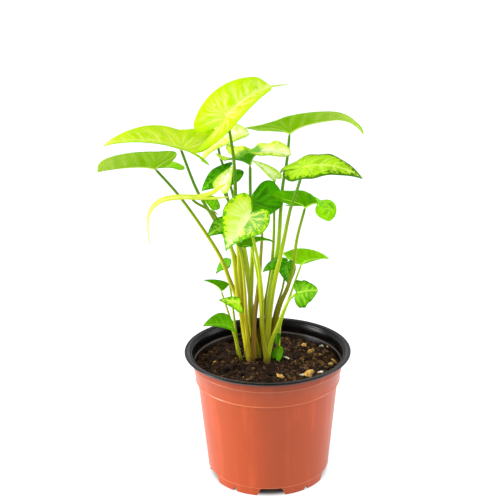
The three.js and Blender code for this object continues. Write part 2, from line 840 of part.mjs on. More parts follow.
// The biggest of the bodies that a cut leaves.
function largest(manifold) {
  const bodies = manifold.decompose();
  return bodies.reduce((best, body) => (body.volume() > best.volume() ? body : best));
}

// ---------------------------------------------------------------- assembly

const plant = new THREE.Group();

function add(name, geometry, material) {
  const mesh = new THREE.Mesh(geometry, material);
  mesh.name = name;
  plant.add(mesh);
}

add('pot', geometryOf(potSolid()), FINISHES.pot);
add('potting_mix', geometryOf(mixSolid(Object.values(SHOOTS))), FINISHES.mix);
for (const [name, shoot] of Object.entries(SHOOTS)) {
  add(name, geometryOf(shootSolid(shoot)), FINISHES.shoot);
}
for (const [name, leaf] of Object.entries(LEAVES)) {
  add(name, bladeGeometry(leaf, BLADE_THICKNESS), FINISHES[leaf.finish]);
}

export default plant;
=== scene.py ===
"""An arrowhead plant in its nursery pot: fine blades, stalks, potting mix, pot and studio."""

import json
import math
from types import SimpleNamespace

import bpy
import numpy as np
from bpy.props import FloatProperty, FloatVectorProperty, IntProperty, PointerProperty
from mathutils import Matrix, Vector, noise


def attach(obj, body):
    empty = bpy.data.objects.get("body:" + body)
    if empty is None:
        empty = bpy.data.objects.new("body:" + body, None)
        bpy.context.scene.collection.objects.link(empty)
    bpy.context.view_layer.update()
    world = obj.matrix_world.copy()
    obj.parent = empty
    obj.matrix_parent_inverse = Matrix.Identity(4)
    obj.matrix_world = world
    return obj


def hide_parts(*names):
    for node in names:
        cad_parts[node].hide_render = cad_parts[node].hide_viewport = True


bl_info = {
    "name": "Arrowhead plant in a nursery pot",
    "version": (1, 0, 0),
    "blender": (4, 5, 0),
    "location": "3D View > Sidebar > Plant",
    "description": "Models the fine blades, stalks, potting mix and pot round the plain solids",
    "category": "Add Mesh",
}

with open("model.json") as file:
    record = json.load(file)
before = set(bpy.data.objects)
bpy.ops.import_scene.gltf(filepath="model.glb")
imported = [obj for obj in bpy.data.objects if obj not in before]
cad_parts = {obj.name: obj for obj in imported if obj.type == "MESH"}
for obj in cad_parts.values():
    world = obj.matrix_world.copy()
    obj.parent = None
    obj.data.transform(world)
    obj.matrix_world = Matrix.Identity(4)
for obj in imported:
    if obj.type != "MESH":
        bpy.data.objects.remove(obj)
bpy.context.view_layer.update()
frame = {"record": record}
MM = 0.001

# ---------------------------------------------------------------- blades and stalks, in mm
#
# joint: where the stalk meets the blade. tip: the blade's point. half: widest half-width.
# lobe: length of the two lobes behind the joint. full: fullness of the front half.
# drip: share of the length that is a drawn-out tip. close: how far the lobes close the notch.
# roll: turn about the line from joint to tip, in degrees, and positive lowers the right side.
# arch: turn of the midrib from joint to tip. knee: place and turn of a sharper bend in it.
# fold: rise of each half from the midrib. curl: how far it bends down again at its margin.
# twist: extra roll at the tip. sag: slope of the lobes' ends. flare: extra rise of the lobes.
# dip: depth of the funnel at the joint. wave: height of the margin's waves.
# Pairs are for the left and right halves, looking from the joint to the tip.

LEAVES = {
    "01": dict(
        joint=(-28, -10, 291), tip=(17, 14, 309), half=(22, 19), lobe=(22, 32), full=(1.9, 1.4),
        drip=0.2, close=0.6, roll=18, arch=60, fold=24, curl=10, sag=(25, 15),
    ),
    "02": dict(
        joint=(-62, -16, 269), tip=(-116, -30, 275), half=25, lobe=(18, 32), full=(1.3, 1.05),
        roll=-6, arch=38, fold=20, curl=10, sag=(45, -20), flare=(0, 30),
    ),
    "03": dict(
        joint=(-84, 14, 246), tip=(-126, 2, 247), half=18, lobe=(17, 20), full=3.5, roll=28,
        arch=14, fold=28, curl=10, twist=12, sag=(-12, 40), flare=(10, 28), dip=2,
    ),
    "04": dict(
        joint=(18, 28, 269), tip=(73, 16, 271), half=(18, 15), lobe=32, full=1.5, roll=-33,
        arch=8, knee=(0.75, 55), fold=(34, 18), curl=10, sag=(-16, -5), flare=-20, dip=5.5,
    ),
    "05": dict(
        joint=(-38, 42, 261), tip=(-13, 46, 265), half=14, lobe=19, full=1.8, roll=28, arch=40,
        fold=15, curl=10, sag=(50, 75), dip=2,
    ),
    "06": dict(
        joint=(-12, 8, 250), tip=(18, -10, 262), half=(14, 12), lobe=24, full=(2.2, 1.5), roll=0,
        arch=32, fold=(18, 10), curl=5, twist=42, sag=(-50, -45), flare=(20, 0), dip=8,
        wave=-1.2,
    ),
    "07": dict(
        joint=(27, -34, 259), tip=(68, -44, 253), half=(20, 18), lobe=(22, 13), close=1, roll=14,
        arch=55, fold=5, curl=15, sag=(42, -5), wave=0.8,
    ),
    "08": dict(
        joint=(-13, -40, 224), tip=(-29, -58, 204), half=(15.5, 18.5), lobe=(12, 15),
        full=(0.55, 1), roll=-36, arch=20, fold=10, curl=15, sag=0,
    ),
    "09": dict(
        joint=(-54, -38, 238), tip=(-84, -46, 207), half=6, lobe=27, roll=0, arch=45,
        knee=(0.5, 62), fold=8, curl=0, sag=(40, 5),
    ),
    "10": dict(
        joint=(-33, 4, 245), tip=(-48, -6, 234), half=(14, 7), lobe=14, roll=-30, arch=50,
        fold=10, curl=20, sag=20,
    ),
    "11": dict(
        joint=(-42, 7, 217), tip=(-52, 5, 228), half=9, lobe=6, roll=-25, arch=20, fold=35,
        curl=10, sag=0,
    ),
    "12": dict(
        joint=(-28, -26, 214), tip=(-43, -38, 209), half=10, lobe=9, roll=-20, arch=30, fold=10,
        curl=15, sag=20,
    ),
    "13": dict(
        joint=(-11, 14, 219), tip=(-10.5, 10, 203), half=(24, 7), lobe=(16, 3), close=0, roll=0,
        arch=30, fold=10, curl=15, sag=10,
    ),
    "14": dict(
        joint=(29, -1, 219), tip=(44, -12, 212), half=(8, 21), lobe=(20, 25), full=3, roll=-28,
        arch=40, knee=(0.66, 90), fold=20, curl=10, twist=66, sag=25, flare=(0, 20), dip=4,
    ),
    "15": dict(
        joint=(27, 25, 164), tip=(48, 16, 172), half=(12, 16), lobe=13, full=1.5, roll=-38,
        arch=25, fold=25, curl=20, sag=-40, dip=3,
    ),
    "16": dict(
        joint=(8, -1, 178), tip=(-3, -7, 170), half=9, lobe=6, roll=0, arch=20, fold=-10,
        curl=20, sag=20,
    ),
    "17": dict(
        joint=(15, 10, 168), tip=(17, 7, 154), half=8, lobe=4, roll=0, arch=20, fold=10, curl=10,
        sag=20,
    ),
    "18": dict(
        joint=(23, -20, 158), tip=(38, -24, 161), half=(10, 12), lobe=3, full=1.6, roll=40,
        arch=20, fold=10, curl=(10, 90), sag=20, wave=1.2,
    ),
    "19": dict(
        joint=(-11, -22, 195), tip=(5, -28, 201), half=9, lobe=9, roll=-25, arch=50, fold=20,
        curl=10, sag=0, dip=3,
    ),
    "20": dict(
        joint=(-31, 24, 161), tip=(-40, 28, 156), half=8, lobe=7, roll=-30, arch=30, fold=40,
        curl=10, sag=-20, dip=2,
    ),
    "21": dict(
        joint=(-36, 16, 146), tip=(-49, 8, 158), half=8, lobe=3.5, roll=25, arch=20, fold=30,
        curl=10, sag=-60, dip=2,
    ),
    "22": dict(
        joint=(-21, -24, 151), tip=(-36, -34, 158), half=(8, 5), lobe=2, roll=-45, arch=30,
        fold=10, curl=15, sag=20, wave=0.6,
    ),
    "23": dict(
        joint=(-27, -26, 132), tip=(-48, -36, 138), half=(6, 15), lobe=3, roll=-15, arch=40,
        fold=17, curl=15, sag=20,
    ),
    "24": dict(
        joint=(7.2, -1, 98), tip=(11.3, 0, 105), half=4.8, lobe=4.5, full=2.2, roll=40, arch=20,
        fold=10, curl=20, sag=20,
    ),
    "25": dict(
        joint=(7.2, 2, 114), tip=(7.2, 1, 105.5), half=3, lobe=2, roll=0, arch=10, fold=10,
        curl=0, sag=0,
    ),
    "26": dict(
        joint=(6, 24, 236), tip=(-11, 40, 245), half=(3.5, 6.5), lobe=4, roll=-15, arch=20,
        fold=10, curl=10, sag=20,
    ),
    "27": dict(
        joint=(-33, -20, 241), tip=(-24, -16, 256), half=6.5, lobe=3, roll=50, arch=20, fold=15,
        curl=15, sag=20,
    ),
}

SHOOTS = {
    "left": dict(base=(-13, -1), neck=4.2, petioles=(
        dict(leaf="01", radii=(3.4, 1.2), via=(
            (-18, -3, 126), (-20, -4, 155), (-21, -6, 187), (-23, -6, 215), (-23, -7, 241),
            (-24, -7, 261),
        )),
        dict(leaf="09", radii=(2.6, 1.1), via=(
            (-17, -6, 118), (-22, -9, 150), (-27, -12, 193), (-33, -14, 204), (-38, -18, 218),
            (-43, -26, 226), (-51, -35, 234),
        )),
        dict(leaf="13", radii=(2.6, 1.1), via=(
            (-11, -5, 109), (-10, -6, 130), (-7, -5, 154), (-5, 1, 175), (-4, 13, 200),
        )),
        dict(leaf="12", radii=(1.8, 0.9), via=(
            (-16, -9, 125), (-17, -13, 160), (-20, -18, 190),
        )),
        dict(leaf="22", radii=(1.6, 0.9), via=(
            (-15, -8, 112), (-17, -14, 132),
        )),
    )),
    "tan": dict(base=(-15.5, 8.5), neck=3.2, petioles=(
        dict(leaf="03", radii=(2.4, 1.2), via=(
            (-18, 6, 117), (-23, 7, 142), (-29, 8, 158), (-35, 9, 175), (-48, 10, 198),
            (-67, 12, 226),
        )),
        dict(leaf="02", radii=(2.2, 1.2), via=(
            (-18, 4, 117), (-21, 2, 152), (-24, -1, 179), (-31, -4, 196), (-41, -6, 215),
            (-51, -10, 235),
        )),
        dict(leaf="11", radii=(1.8, 1), via=(
            (-17, 9, 125), (-22, 12, 160), (-31, 11, 192),
        )),
    )),
    "back": dict(base=(-8, 14), neck=3.4, petioles=(
        dict(leaf="05", radii=(2.4, 1.1), via=(
            (-13, 16, 138), (-16, 21, 170), (-21, 26, 197), (-27, 32, 224), (-35, 38, 247),
        )),
        dict(leaf="10", radii=(2.2, 1), via=(
            (-12, 12, 130), (-17, 11, 170), (-27, 6, 215),
        )),
        dict(leaf="26", radii=(2.2, 1), via=(
            (-4, 14, 123), (1, 17, 148), (5, 20, 180), (6, 23, 210),
        )),
    )),
    "middle": dict(base=(-7, 5.5), neck=2.6, petioles=(
        dict(leaf="06", radii=(2.6, 1.3), via=(
            (-13, 3, 127), (-12, 4, 159), (-11, 5, 188), (-12, 6, 218),
        )),
        dict(leaf="27", radii=(2, 0.9), via=(
            (-12, 0, 130), (-15, -2, 170), (-20, -12, 208), (-29, -19, 232),
        )),
    )),
    "right": dict(base=(0, 9), neck=3.4, petioles=(
        dict(leaf="04", radii=(3, 1.2), via=(
            (1, 9, 133), (4, 11, 157), (9, 15, 184), (11, 19, 211), (13, 22, 232), (16, 25, 249),
        )),
        dict(leaf="14", radii=(2.4, 1.2), via=(
            (3, 6, 108), (10, 3, 139), (16, 2, 154), (20, 1, 170), (23, 0, 194),
        )),
        dict(leaf="17", radii=(1.6, 0.9), via=(
            (6, 8, 130), (12, 10, 150),
        )),
    )),
    "front": dict(base=(-0.5, -1), neck=4.2, petioles=(
        dict(leaf="07", radii=(3, 1.2), via=(
            (0, -3, 117), (4, -9, 154), (10, -16, 185), (13, -20, 201), (18, -27, 228),
            (22, -31, 241),
        )),
        dict(leaf="08", radii=(2.4, 1.2), via=(
            (-4, -6, 125), (-4, -13, 149), (-5, -20, 168), (-7, -28, 189), (-10, -35, 207),
        )),
        dict(leaf="19", radii=(1.8, 0.9), via=(
            (-4, -7, 125), (-6, -13, 160), (-9, -18, 182),
        )),
        dict(leaf="16", radii=(1.6, 0.9), via=(
            (1, -2, 125), (5, -2, 150),
        )),
        dict(leaf="18", radii=(2.2, 1.1), via=(
            (3, -4, 111), (7, -7, 123), (17, -16, 151),
        )),
    )),
    "side": dict(base=(8, 4), neck=2.2, petioles=(
        dict(leaf="15", radii=(1.8, 0.9), via=(
            (10, 9, 120), (17, 14, 139), (22, 19, 152),
        )),
        dict(leaf="24", radii=(1, 0.7), via=(
            (7, 0.5, 96),
        )),
        dict(leaf="25", radii=(1, 0.7), via=(
            (8.5, 4, 104), (9, 4, 113), (8, 3, 116),
        )),
    )),
    "small": dict(base=(-20.5, 2), neck=1.8, petioles=(
        dict(leaf="23", radii=(1.3, 0.9), via=(
            (-24, -11, 114),
        )),
    )),
    "outer": dict(base=(-22.5, 11), neck=1.8, petioles=(
        dict(leaf="21", radii=(1.5, 0.8), via=(
            (-26, 10, 112), (-31, 13, 130),
        )),
        dict(leaf="20", radii=(1.4, 0.8), via=(
            (-25, 13, 112), (-28, 20, 138),
        )),
    )),
}

# The finish of each blade, by its number.
BLADE_FINISH = {
    "01": "chartreuse", "02": "citrus", "03": "meadow", "04": "meadow", "05": "pearl",
    "06": "lemon", "07": "bordered", "08": "cream", "09": "straw", "10": "forest",
    "11": "spring", "12": "moss", "13": "forest", "14": "spring", "15": "fresh",
    "16": "forest", "17": "forest", "18": "moss", "19": "forest", "20": "grass",
    "21": "spring", "22": "speckled", "23": "grass", "24": "grass", "25": "forest",
    "26": "pearl", "27": "pearl",
}

# Colours and growth of each finish. lamina: the blade between its veins. deep: its mottles.
# pale: round the midrib and veins, as far as pale_reach mm. under: the underside, and tip:
# the underside's far end. mottle: how much of the blade is mottled, on one half only if
# one_sided. stroke: strength of the pale streaks between the veins. halo: width in mm of the
# pale bands along them. nerve: strength of the veins. glow: the light that comes through.
# border: width in mm of the dark margin. throat: distances in mm from the joint, past the
# first of which the underside is all tip, and inside the second all under. dark_throat: the
# same for the under colour on the upper face, full inside the first and gone at the second.
# rib: the raised ribs under the blade, where they aren't pale.
FINISHES = {
    "chartreuse": dict(
        lamina="#bcdc00", deep="#a0d000", pale="#ecf48c", under="#98c410", tip="#acd420",
        glow="#d0e800", mottle=0.6, stroke=0.6, pale_reach=4, halo=1.8, nerve=0.25, border=0,
    ),
    "citrus": dict(
        lamina="#c8e400", deep="#9ccc00", pale="#ecf478", under="#5c9c04", tip="#84b80c",
        glow="#cce408", mottle=0.7, stroke=0.5, pale_reach=4, halo=2.2, nerve=0.35, border=0,
    ),
    "meadow": dict(
        lamina="#9cdc00", deep="#60b000", pale="#c8e458", under="#98cc00", tip="#d4e860",
        glow="#b0dc00", mottle=0.5, stroke=0.3, pale_reach=2, halo=1.2, nerve=0.3, border=0,
    ),
    "lemon": dict(
        lamina="#f4fc48", deep="#98c810", pale="#ffffd8", under="#489800", tip="#ecf458",
        glow="#e0f440", mottle=0.4, stroke=0.7, pale_reach=8, halo=2.2, nerve=0.3, border=2.5,
        throat=(24, 15), dark_throat=(10, 16), rib="#7cb418",
    ),
    "bordered": dict(
        lamina="#a8d800", deep="#246000", pale="#d0ec5c", under="#7cb418", tip="#8cc020",
        glow="#bce000", mottle=0.3, stroke=0.35, pale_reach=2.5, halo=1.6, nerve=0.25, border=6,
    ),
    "speckled": dict(
        lamina="#c0f000", deep="#4c9c00", pale="#e4f860", under="#8cc420", tip="#a0d020",
        glow="#c8f000", mottle=0.55, stroke=0.4, pale_reach=2, halo=1, nerve=0.25, border=2,
    ),
    "cream": dict(
        lamina="#d0f010", deep="#4cac00", pale="#f8fcb4", under="#94c038", tip="#a4cc40",
        glow="#d8f018", mottle=1, stroke=0.6, pale_reach=9, halo=3, nerve=0.3, border=2,
        one_sided=True,
    ),
    "straw": dict(
        lamina="#dce440", deep="#a8c418", pale="#f4f690", under="#e0e858", tip="#ecf478",
        glow="#ecf44c", mottle=0.3, stroke=0.3, pale_reach=3, halo=1, nerve=0.3, border=0,
    ),
    "pearl": dict(
        lamina="#f0fc70", deep="#a4d02c", pale="#ffffdc", under="#b8dc54", tip="#dcf084",
        glow="#dcf468", mottle=0.5, stroke=0.6, pale_reach=5, halo=1.8, nerve=0.3, border=2,
        throat=(14, 4),
    ),
    "forest": dict(
        lamina="#54b400", deep="#1c6400", pale="#84c424", under="#5ca400", tip="#6cb008",
        glow="#5cb400", mottle=0.75, stroke=0.15, pale_reach=0.8, halo=0.9, nerve=0.25, border=0,
    ),
    "grass": dict(
        lamina="#66b000", deep="#3c8000", pale="#90cc24", under="#70b400", tip="#80c008",
        glow="#78c400", mottle=0.5, stroke=0.2, pale_reach=1.2, halo=0.9, nerve=0.25, border=0,
    ),
    "spring": dict(
        lamina="#a4ec00", deep="#3c9800", pale="#c8f440", under="#5a9c00", tip="#84c800",
        glow="#a0e800", mottle=0.65, stroke=0.2, pale_reach=1.2, halo=0.9, nerve=0.25, border=0,
    ),
    "fresh": dict(
        lamina="#a8f000", deep="#68c000", pale="#c8f440", under="#acf000", tip="#c8f830",
        glow="#a8f000", mottle=0.4, stroke=0.2, pale_reach=1.2, halo=0.9, nerve=0.25, border=0,
    ),
    "moss": dict(
        lamina="#78c008", deep="#307c00", pale="#b4e04c", under="#80c410", tip="#90cc18",
        glow="#84cc00", mottle=0.8, stroke=0.35, pale_reach=1.6, halo=1.4, nerve=0.35,
        border=1.4,
    ),
}

# Side veins, as shares of the outline from the notch round to the tip.
SIDE_VEINS = (0.0, 0.14, 0.3, 0.42, 0.5, 0.57, 0.64, 0.71, 0.78, 0.86, 1.0)

# Half of a blade's outline from the notch round to the tip: across as a share of the half-width,
# and along as a share of the length in front of the joint, or of the lobe behind it.
OUTLINE = np.array((
    (0, -0.32), (0.14, -0.6), (0.38, -0.95), (0.68, -0.98), (0.93, -0.5),
    (1, 0.06), (0.86, 0.33), (0.56, 0.6), (0.24, 0.84), (0, 1),
))
PLAIN_RIBS = 16  # ribs of the plain blade, the last of which starts a drawn-out tip
DRIP_HALF = 1.0  # half-width in mm of a drawn-out tip where it leaves the blade
VEIN_CLIMB = 0.5  # how far a side vein runs forward for its run outward
KNEE_REACH = 0.25  # how far a knee's turn spreads along the midrib
LOBE_SPLIT = 0.3  # share of the half-width over which one lobe's values pass into the other's
FUNNEL_SPREAD = 0.13  # width of the funnel at the joint, as a share of the blade's length
WAVE_TURN = 14  # how fast the margin's waves follow each other along the midrib
WAVE_STARTS = (2.5, 1)  # where the waves start in the left and right halves
MIDRIB_STEPS = 40
LARGE_BLADE = 22.0  # length in mm past which a blade is made with all its rows

# The relief of a blade, in mm.
BULGE = 0.45  # height between the veins
BULGE_REACH = 3.2  # distance from a vein at which the bulge is full
MARGIN_REACH = 2.5  # distance from the margin inside which it falls away

# The raised ribs under a blade. Lengths are shares of its length, and widths of its half-width.
RIB_SIDES = 8
MIDRIB_REACH = 0.9
LOBE_RIB_REACH = 0.75
LOBE_RIB_SPREAD = 0.42
LOBE_RIB_SLIMNESS = 0.6  # its radius as a share of the midrib's
RIB_END = 0.05  # radius in mm at the end
RIB_DEPTH = 0.25  # distance in mm from the blade's middle to the middle of a rib

# The stalks. The slimness is the share of the plain stalk's radius that is left at the top.
STALK_STEPS = 72
STALK_SLIMNESS = 0.85
STALK_STOP = 0.7  # distance in mm from the joint to a stalk's end
SHEATH_GROOVE = 0.22  # depth of the slit in a sheath, as a share of the radius
SLIT_WIDTH = 0.5  # in radians round the stalk
SLIT_ENDS = (0.3, 0.6)  # the slit closes between these shares of the stalk's length
FLUTES = 7
FLUTE_DEPTH = 0.03  # depth of the fine ribs along a stalk, as a share of the radius
NECK_DEPTH = 10  # how far in mm a shoot's neck goes down into the mix
NECK_SHAPE = (1.0,) * 8 + (0.97, 0.88, 0.7, 0.4)  # its radius at each mm, as a share of the widest

# The pot, in mm.
WALL = 1.2
FLOOR = 5.0  # underside of the floor, above the surface the pot stands on
RIDGE_UPPER, RIDGE_LOWER = 94.0, 80.4
FOOT_LINE = 6.9  # the fine ridge above the foot
FLANGE = 101.6  # where the black flange starts
UNDER_RIM = 101.8

# Cuts in the foot, in mm: width at the bottom and at the top, height, and rounding.
ARCH = (23.0, 16.0, 6.2, 0.8)
NOTCH = (4.0, 2.0, 3.0, 0.3)
FOOT_CUTS = 10  # arches and notches in turn
FOOT_TURN = 2.5  # degrees from the front to the first arch
CUT_REACH = 4.0
DRAINS = 5
DRAIN_CIRCLE, DRAIN_RADIUS = 34.0, 4.0

# The mix in the pot, in mm.
MIX_LEVEL = 89.5
MIX_MOUND = 4.0  # rise of the mix round the stalks
MIX_MOUND_RADIUS = 26.0
MIX_LUMP = 1.3
MIX_GAP = 0.3  # between the mix and the wall
CLUMP = (-8.0, -4.0)  # the middle of the stalks
CRUMB_REACH = 54.5  # radius in mm inside which crumbs lie
CRUMB_SEED = 11

# The camera, in metres and degrees, and the lights: name, place and size in metres.
CAMERA_PLACE = (0, -0.849, 0.4783)
CAMERA_PITCH, CAMERA_YAW, CAMERA_ROLL = 19.04, -0.86, -0.73
PLANT_MIDDLE = (0, 0, 0.16)
LIGHTS = (
    ("key", (-1.25, -0.22, 0.42), (0.5, 1.1)),
    ("side", (1.25, 0.0, 0.45), (0.5, 1.1)),
    ("top", (0.0, -0.3, 1.35), (1.2, 0.8)),
)
FLOOR_LIT_RADIUS = 41.0  # in mm, the floor's glow is cut inside it: a painted shadow under the pot


# ---------------------------------------------------------------- sizes and colours

def colour(text):
    """A linear colour from a written one such as #c85a38."""
    parts = [int(text[i:i + 2], 16) / 255 for i in (1, 3, 5)]
    return tuple(c / 12.92 if c <= 0.04045 else ((c + 0.055) / 1.055) ** 2.4 for c in parts)


def colour_property(name, description, text):
    """A colour that the user can change, its default written as in colour()."""
    return FloatVectorProperty(
        name=name, description=description, subtype="COLOR", min=0, max=1,
        default=colour(text),
    )


def length_property(name, description, value):
    """A length that the user can change, its default in mm."""
    return FloatProperty(
        name=name, description=description, default=value * MM, unit="LENGTH", subtype="DISTANCE",
    )


class PotSettings(bpy.types.PropertyGroup):
    """Sizes and colours of the moulded pot."""

    height: length_property("Height", "From the foot to the top of the rim", 103.4)
    rim_radius: length_property("Rim radius", "Outside of the rolled rim", 65)
    foot_radius: length_property("Foot radius", "Outside of the foot where it stands", 47)
    segments: IntProperty(
        name="Segments", description="Flats round the pot", default=144, min=24, max=288,
    )
    terracotta: colour_property("Outside", "Colour of the outer skin", "#a03c04")
    black: colour_property("Inside", "Colour of the inside and the rim", "#050404")


class MixSettings(bpy.types.PropertyGroup):
    """The potting mix and what lies on it."""

    peat: colour_property("Peat", "Colour of the dark mix", "#301c0e")
    bark: colour_property("Bark", "Colour of the bark crumbs", "#74542c")
    straw: colour_property("Chips", "Colour of the pale wood chips", "#e8b860")
    perlite: colour_property("Perlite", "Colour of the white grains", "#f0ead8")
    crumbs: IntProperty(
        name="Crumbs", description="Loose crumbs on the mix", default=2200, min=0, max=4000,
    )


class PlantSettings(bpy.types.PropertyGroup):
    """Thickness and fineness of the blades and stalks."""

    blade_thickness: length_property("Blade thickness", "Between the two faces", 0.6)
    blade_rows: IntProperty(
        name="Blade rows", description="Rows of a large blade", default=64, min=16, max=160,
    )
    stalk_sides: IntProperty(
        name="Stalk sides", description="Flats round a stalk", default=18, min=6, max=48,
    )


class StudioSettings(bpy.types.PropertyGroup):
    """The floor, the lights and the camera."""

    floor: colour_property("Floor", "Colour of the floor", "#8c8c8c")
    floor_glow: FloatProperty(
        name="Floor glow", description="Light of the lit table", default=0.86, min=0,
    )
    sky: FloatProperty(name="Sky", description="Strength of the even light", default=1.0, min=0)
    key: FloatProperty(
        name="Key light", description="Power of the large light on the left", default=30,
        min=0, unit="POWER",
    )
    side: FloatProperty(
        name="Side light", description="Power of the light on the right", default=9,
        min=0, unit="POWER",
    )
    top: FloatProperty(
        name="Top light", description="Power of the light above", default=3,
        min=0, unit="POWER",
    )
    focal_length: FloatProperty(
        name="Focal length", description="Of the camera's lens", default=85, min=10,
        unit="CAMERA",
    )


# ---------------------------------------------------------------- shader maths

class Value:
    """One output of a node, so that maths on it reads as an expression."""

    def __init__(self, finish, socket):
        self.finish = finish
        self.socket = socket

    def _math(self, operation, first, second):
        return self.finish.node(
            "ShaderNodeMath", {"operation": operation}, {0: first, 1: second},
        )

    def __add__(self, other):
        return self._math("ADD", self, other)

    def __radd__(self, other):
        return self._math("ADD", other, self)

    def __sub__(self, other):
        return self._math("SUBTRACT", self, other)

    def __rsub__(self, other):
        return self._math("SUBTRACT", other, self)

    def __mul__(self, other):
        return self._math("MULTIPLY", self, other)

    def __rmul__(self, other):
        return self._math("MULTIPLY", other, self)

    def __pow__(self, other):
        return self._math("POWER", self, other)

    def __abs__(self):
        return self._math("ABSOLUTE", self, 0.0)

    def least(self, other):
        return self._math("MINIMUM", self, other)

    def most(self, other):
        return self._math("MAXIMUM", self, other)

    def off_whole(self):
        """Distance to the nearest whole number."""
        return abs(self - self._math("ROUND", self, 0.0))


class Finish:
    """A material that is built up from node expressions."""

    def __init__(self, name):
        self.material = bpy.data.materials.new(name)
        self.material.use_nodes = True
        self.tree = self.material.node_tree
        self.tree.nodes.clear()
        self.end = self.tree.nodes.new("ShaderNodeOutputMaterial")

    def node(self, kind, settings=None, values=None, output=0):
        """A node with its settings made first, then its sockets' values or links."""
        made = self.tree.nodes.new(kind)
        for name, value in (settings or {}).items():
            setattr(made, name, value)
        for key, value in (values or {}).items():
            socket = self.find(made.inputs, key)
            if isinstance(value, Value):
                self.tree.links.new(value.socket, socket)
            else:
                socket.default_value = value
        return Value(self, self.find(made.outputs, output))

    @staticmethod
    def find(sockets, key):
        """A socket by its number, its identifier or its name."""
        if isinstance(key, int):
            return sockets[key]
        named = [s for s in sockets if s.identifier == key or s.name == key]
        return named[0]

    def place(self):
        """The place on the object, in metres."""
        return self.node("ShaderNodeTexCoord", output="Object")

    def attribute(self, name):
        """A vector that the mesh keeps at its points."""
        return self.node("ShaderNodeAttribute", {"attribute_name": name}, output="Vector")

    def parts(self, vector):
        """The three numbers of a vector."""
        made = self.node("ShaderNodeSeparateXYZ", values={0: vector})
        node = made.socket.node
        return [Value(self, socket) for socket in node.outputs]

    def vector(self, x, y, z):
        return self.node("ShaderNodeCombineXYZ", values={0: x, 1: y, 2: z})

    def grain(self, scale, detail=3.0, where=None, roughness=0.55):
        """Cloudy noise about 0.5. The scale is in clouds a metre, or a unit of `where`."""
        return self.node(
            "ShaderNodeTexNoise",
            values={
                "Vector": where or self.place(), "Scale": scale, "Detail": detail,
                "Roughness": roughness,
            },
        )

    def fade(self, value, full, gone):
        """One up to `full`, falling smoothly to nothing at `gone`."""
        return self.node(
            "ShaderNodeMapRange", {"interpolation_type": "SMOOTHSTEP"},
            {0: value, 1: full, 2: gone, 3: 1.0, 4: 0.0},
        )

    def blend(self, share, first, second):
        """Two colours mixed: the first where share is 0, the second where it is 1."""
        def rgba(value):
            return value if isinstance(value, Value) else (*value, 1.0)
        return self.node(
            "ShaderNodeMix", {"data_type": "RGBA"},
            {"Factor_Float": share, "A_Color": rgba(first), "B_Color": rgba(second)},
            output="Result_Color",
        )

    def bump(self, height, depth, strength=1.0):
        """The normal of a fine relief, as deep as `depth` mm."""
        return self.node(
            "ShaderNodeBump",
            values={"Height": height, "Distance": depth * MM, "Strength": strength},
        )

    def surface(self, **values):
        """The main shader, its sockets given by short names."""
        names = {
            "base": "Base Color", "rough": "Roughness", "normal": "Normal",
            "specular": "Specular IOR Level", "coat": "Coat Weight",
            "coat_rough": "Coat Roughness", "emission": "Emission Color",
            "glow": "Emission Strength",
        }
        sockets = {names[key]: value for key, value in values.items()}
        if not isinstance(sockets["Base Color"], Value):
            sockets["Base Color"] = (*sockets["Base Color"], 1.0)
        return self.node("ShaderNodeBsdfPrincipled", values=sockets)

    def finished(self, shader):
        """The material, with this shader as its surface."""
        self.tree.links.new(shader.socket, self.end.inputs["Surface"])
        return self.material


# ---------------------------------------------------------------- modelling helpers

def deselect():
    """Leaves edit mode and selects nothing."""
    if bpy.context.object and bpy.context.object.mode != "OBJECT":
        bpy.ops.object.mode_set(mode="OBJECT")
    bpy.ops.object.select_all(action="DESELECT")


def choose(piece, *others):
    """Selects these alone, with the first one active."""
    deselect()
    for other in (*others, piece):
        other.select_set(True)
    bpy.context.view_layer.objects.active = piece


def apply_all(piece):
    """Applies all of a piece's modifiers."""
    choose(piece)
    for modifier in list(piece.modifiers):
        bpy.ops.object.modifier_apply(modifier=modifier.name)


def joined(pieces, name):
    """Several pieces made into one, with a new name."""
    first, *others = pieces
    choose(first, *others)
    if others:
        bpy.ops.object.join()
    first.name = name
    first.data.name = name
    return first


def merged(piece, distance):
    """The piece, with points closer than the distance in metres made one."""
    choose(piece)
    bpy.ops.object.mode_set(mode="EDIT")
    bpy.ops.mesh.select_all(action="SELECT")
    bpy.ops.mesh.remove_doubles(threshold=distance)
    bpy.ops.object.mode_set(mode="OBJECT")
    return piece


def sheet(name, columns, rows, shape, attributes=None):
    """A grid whose points a formula moves: shape(u, v) gives places in mm for 0 to 1.

    attributes(u, v), where it is given, has vectors by name that the mesh keeps at its points.
    """
    deselect()
    bpy.ops.mesh.primitive_grid_add(x_subdivisions=columns, y_subdivisions=rows, size=2)
    piece = bpy.context.object
    piece.name = name
    mesh = piece.data
    flat = np.empty(len(mesh.vertices) * 3)
    mesh.vertices.foreach_get("co", flat)
    flat = flat.reshape(-1, 3)
    across, along = (flat[:, 0] + 1) / 2, (flat[:, 1] + 1) / 2
    if attributes:
        for key, values in attributes(across, along).items():
            made = mesh.attributes.new(key, "FLOAT_VECTOR", "POINT")
            made.data.foreach_set("vector", values.ravel())
    mesh.vertices.foreach_set("co", (shape(across, along) * MM).ravel())
    mesh.update()
    return piece


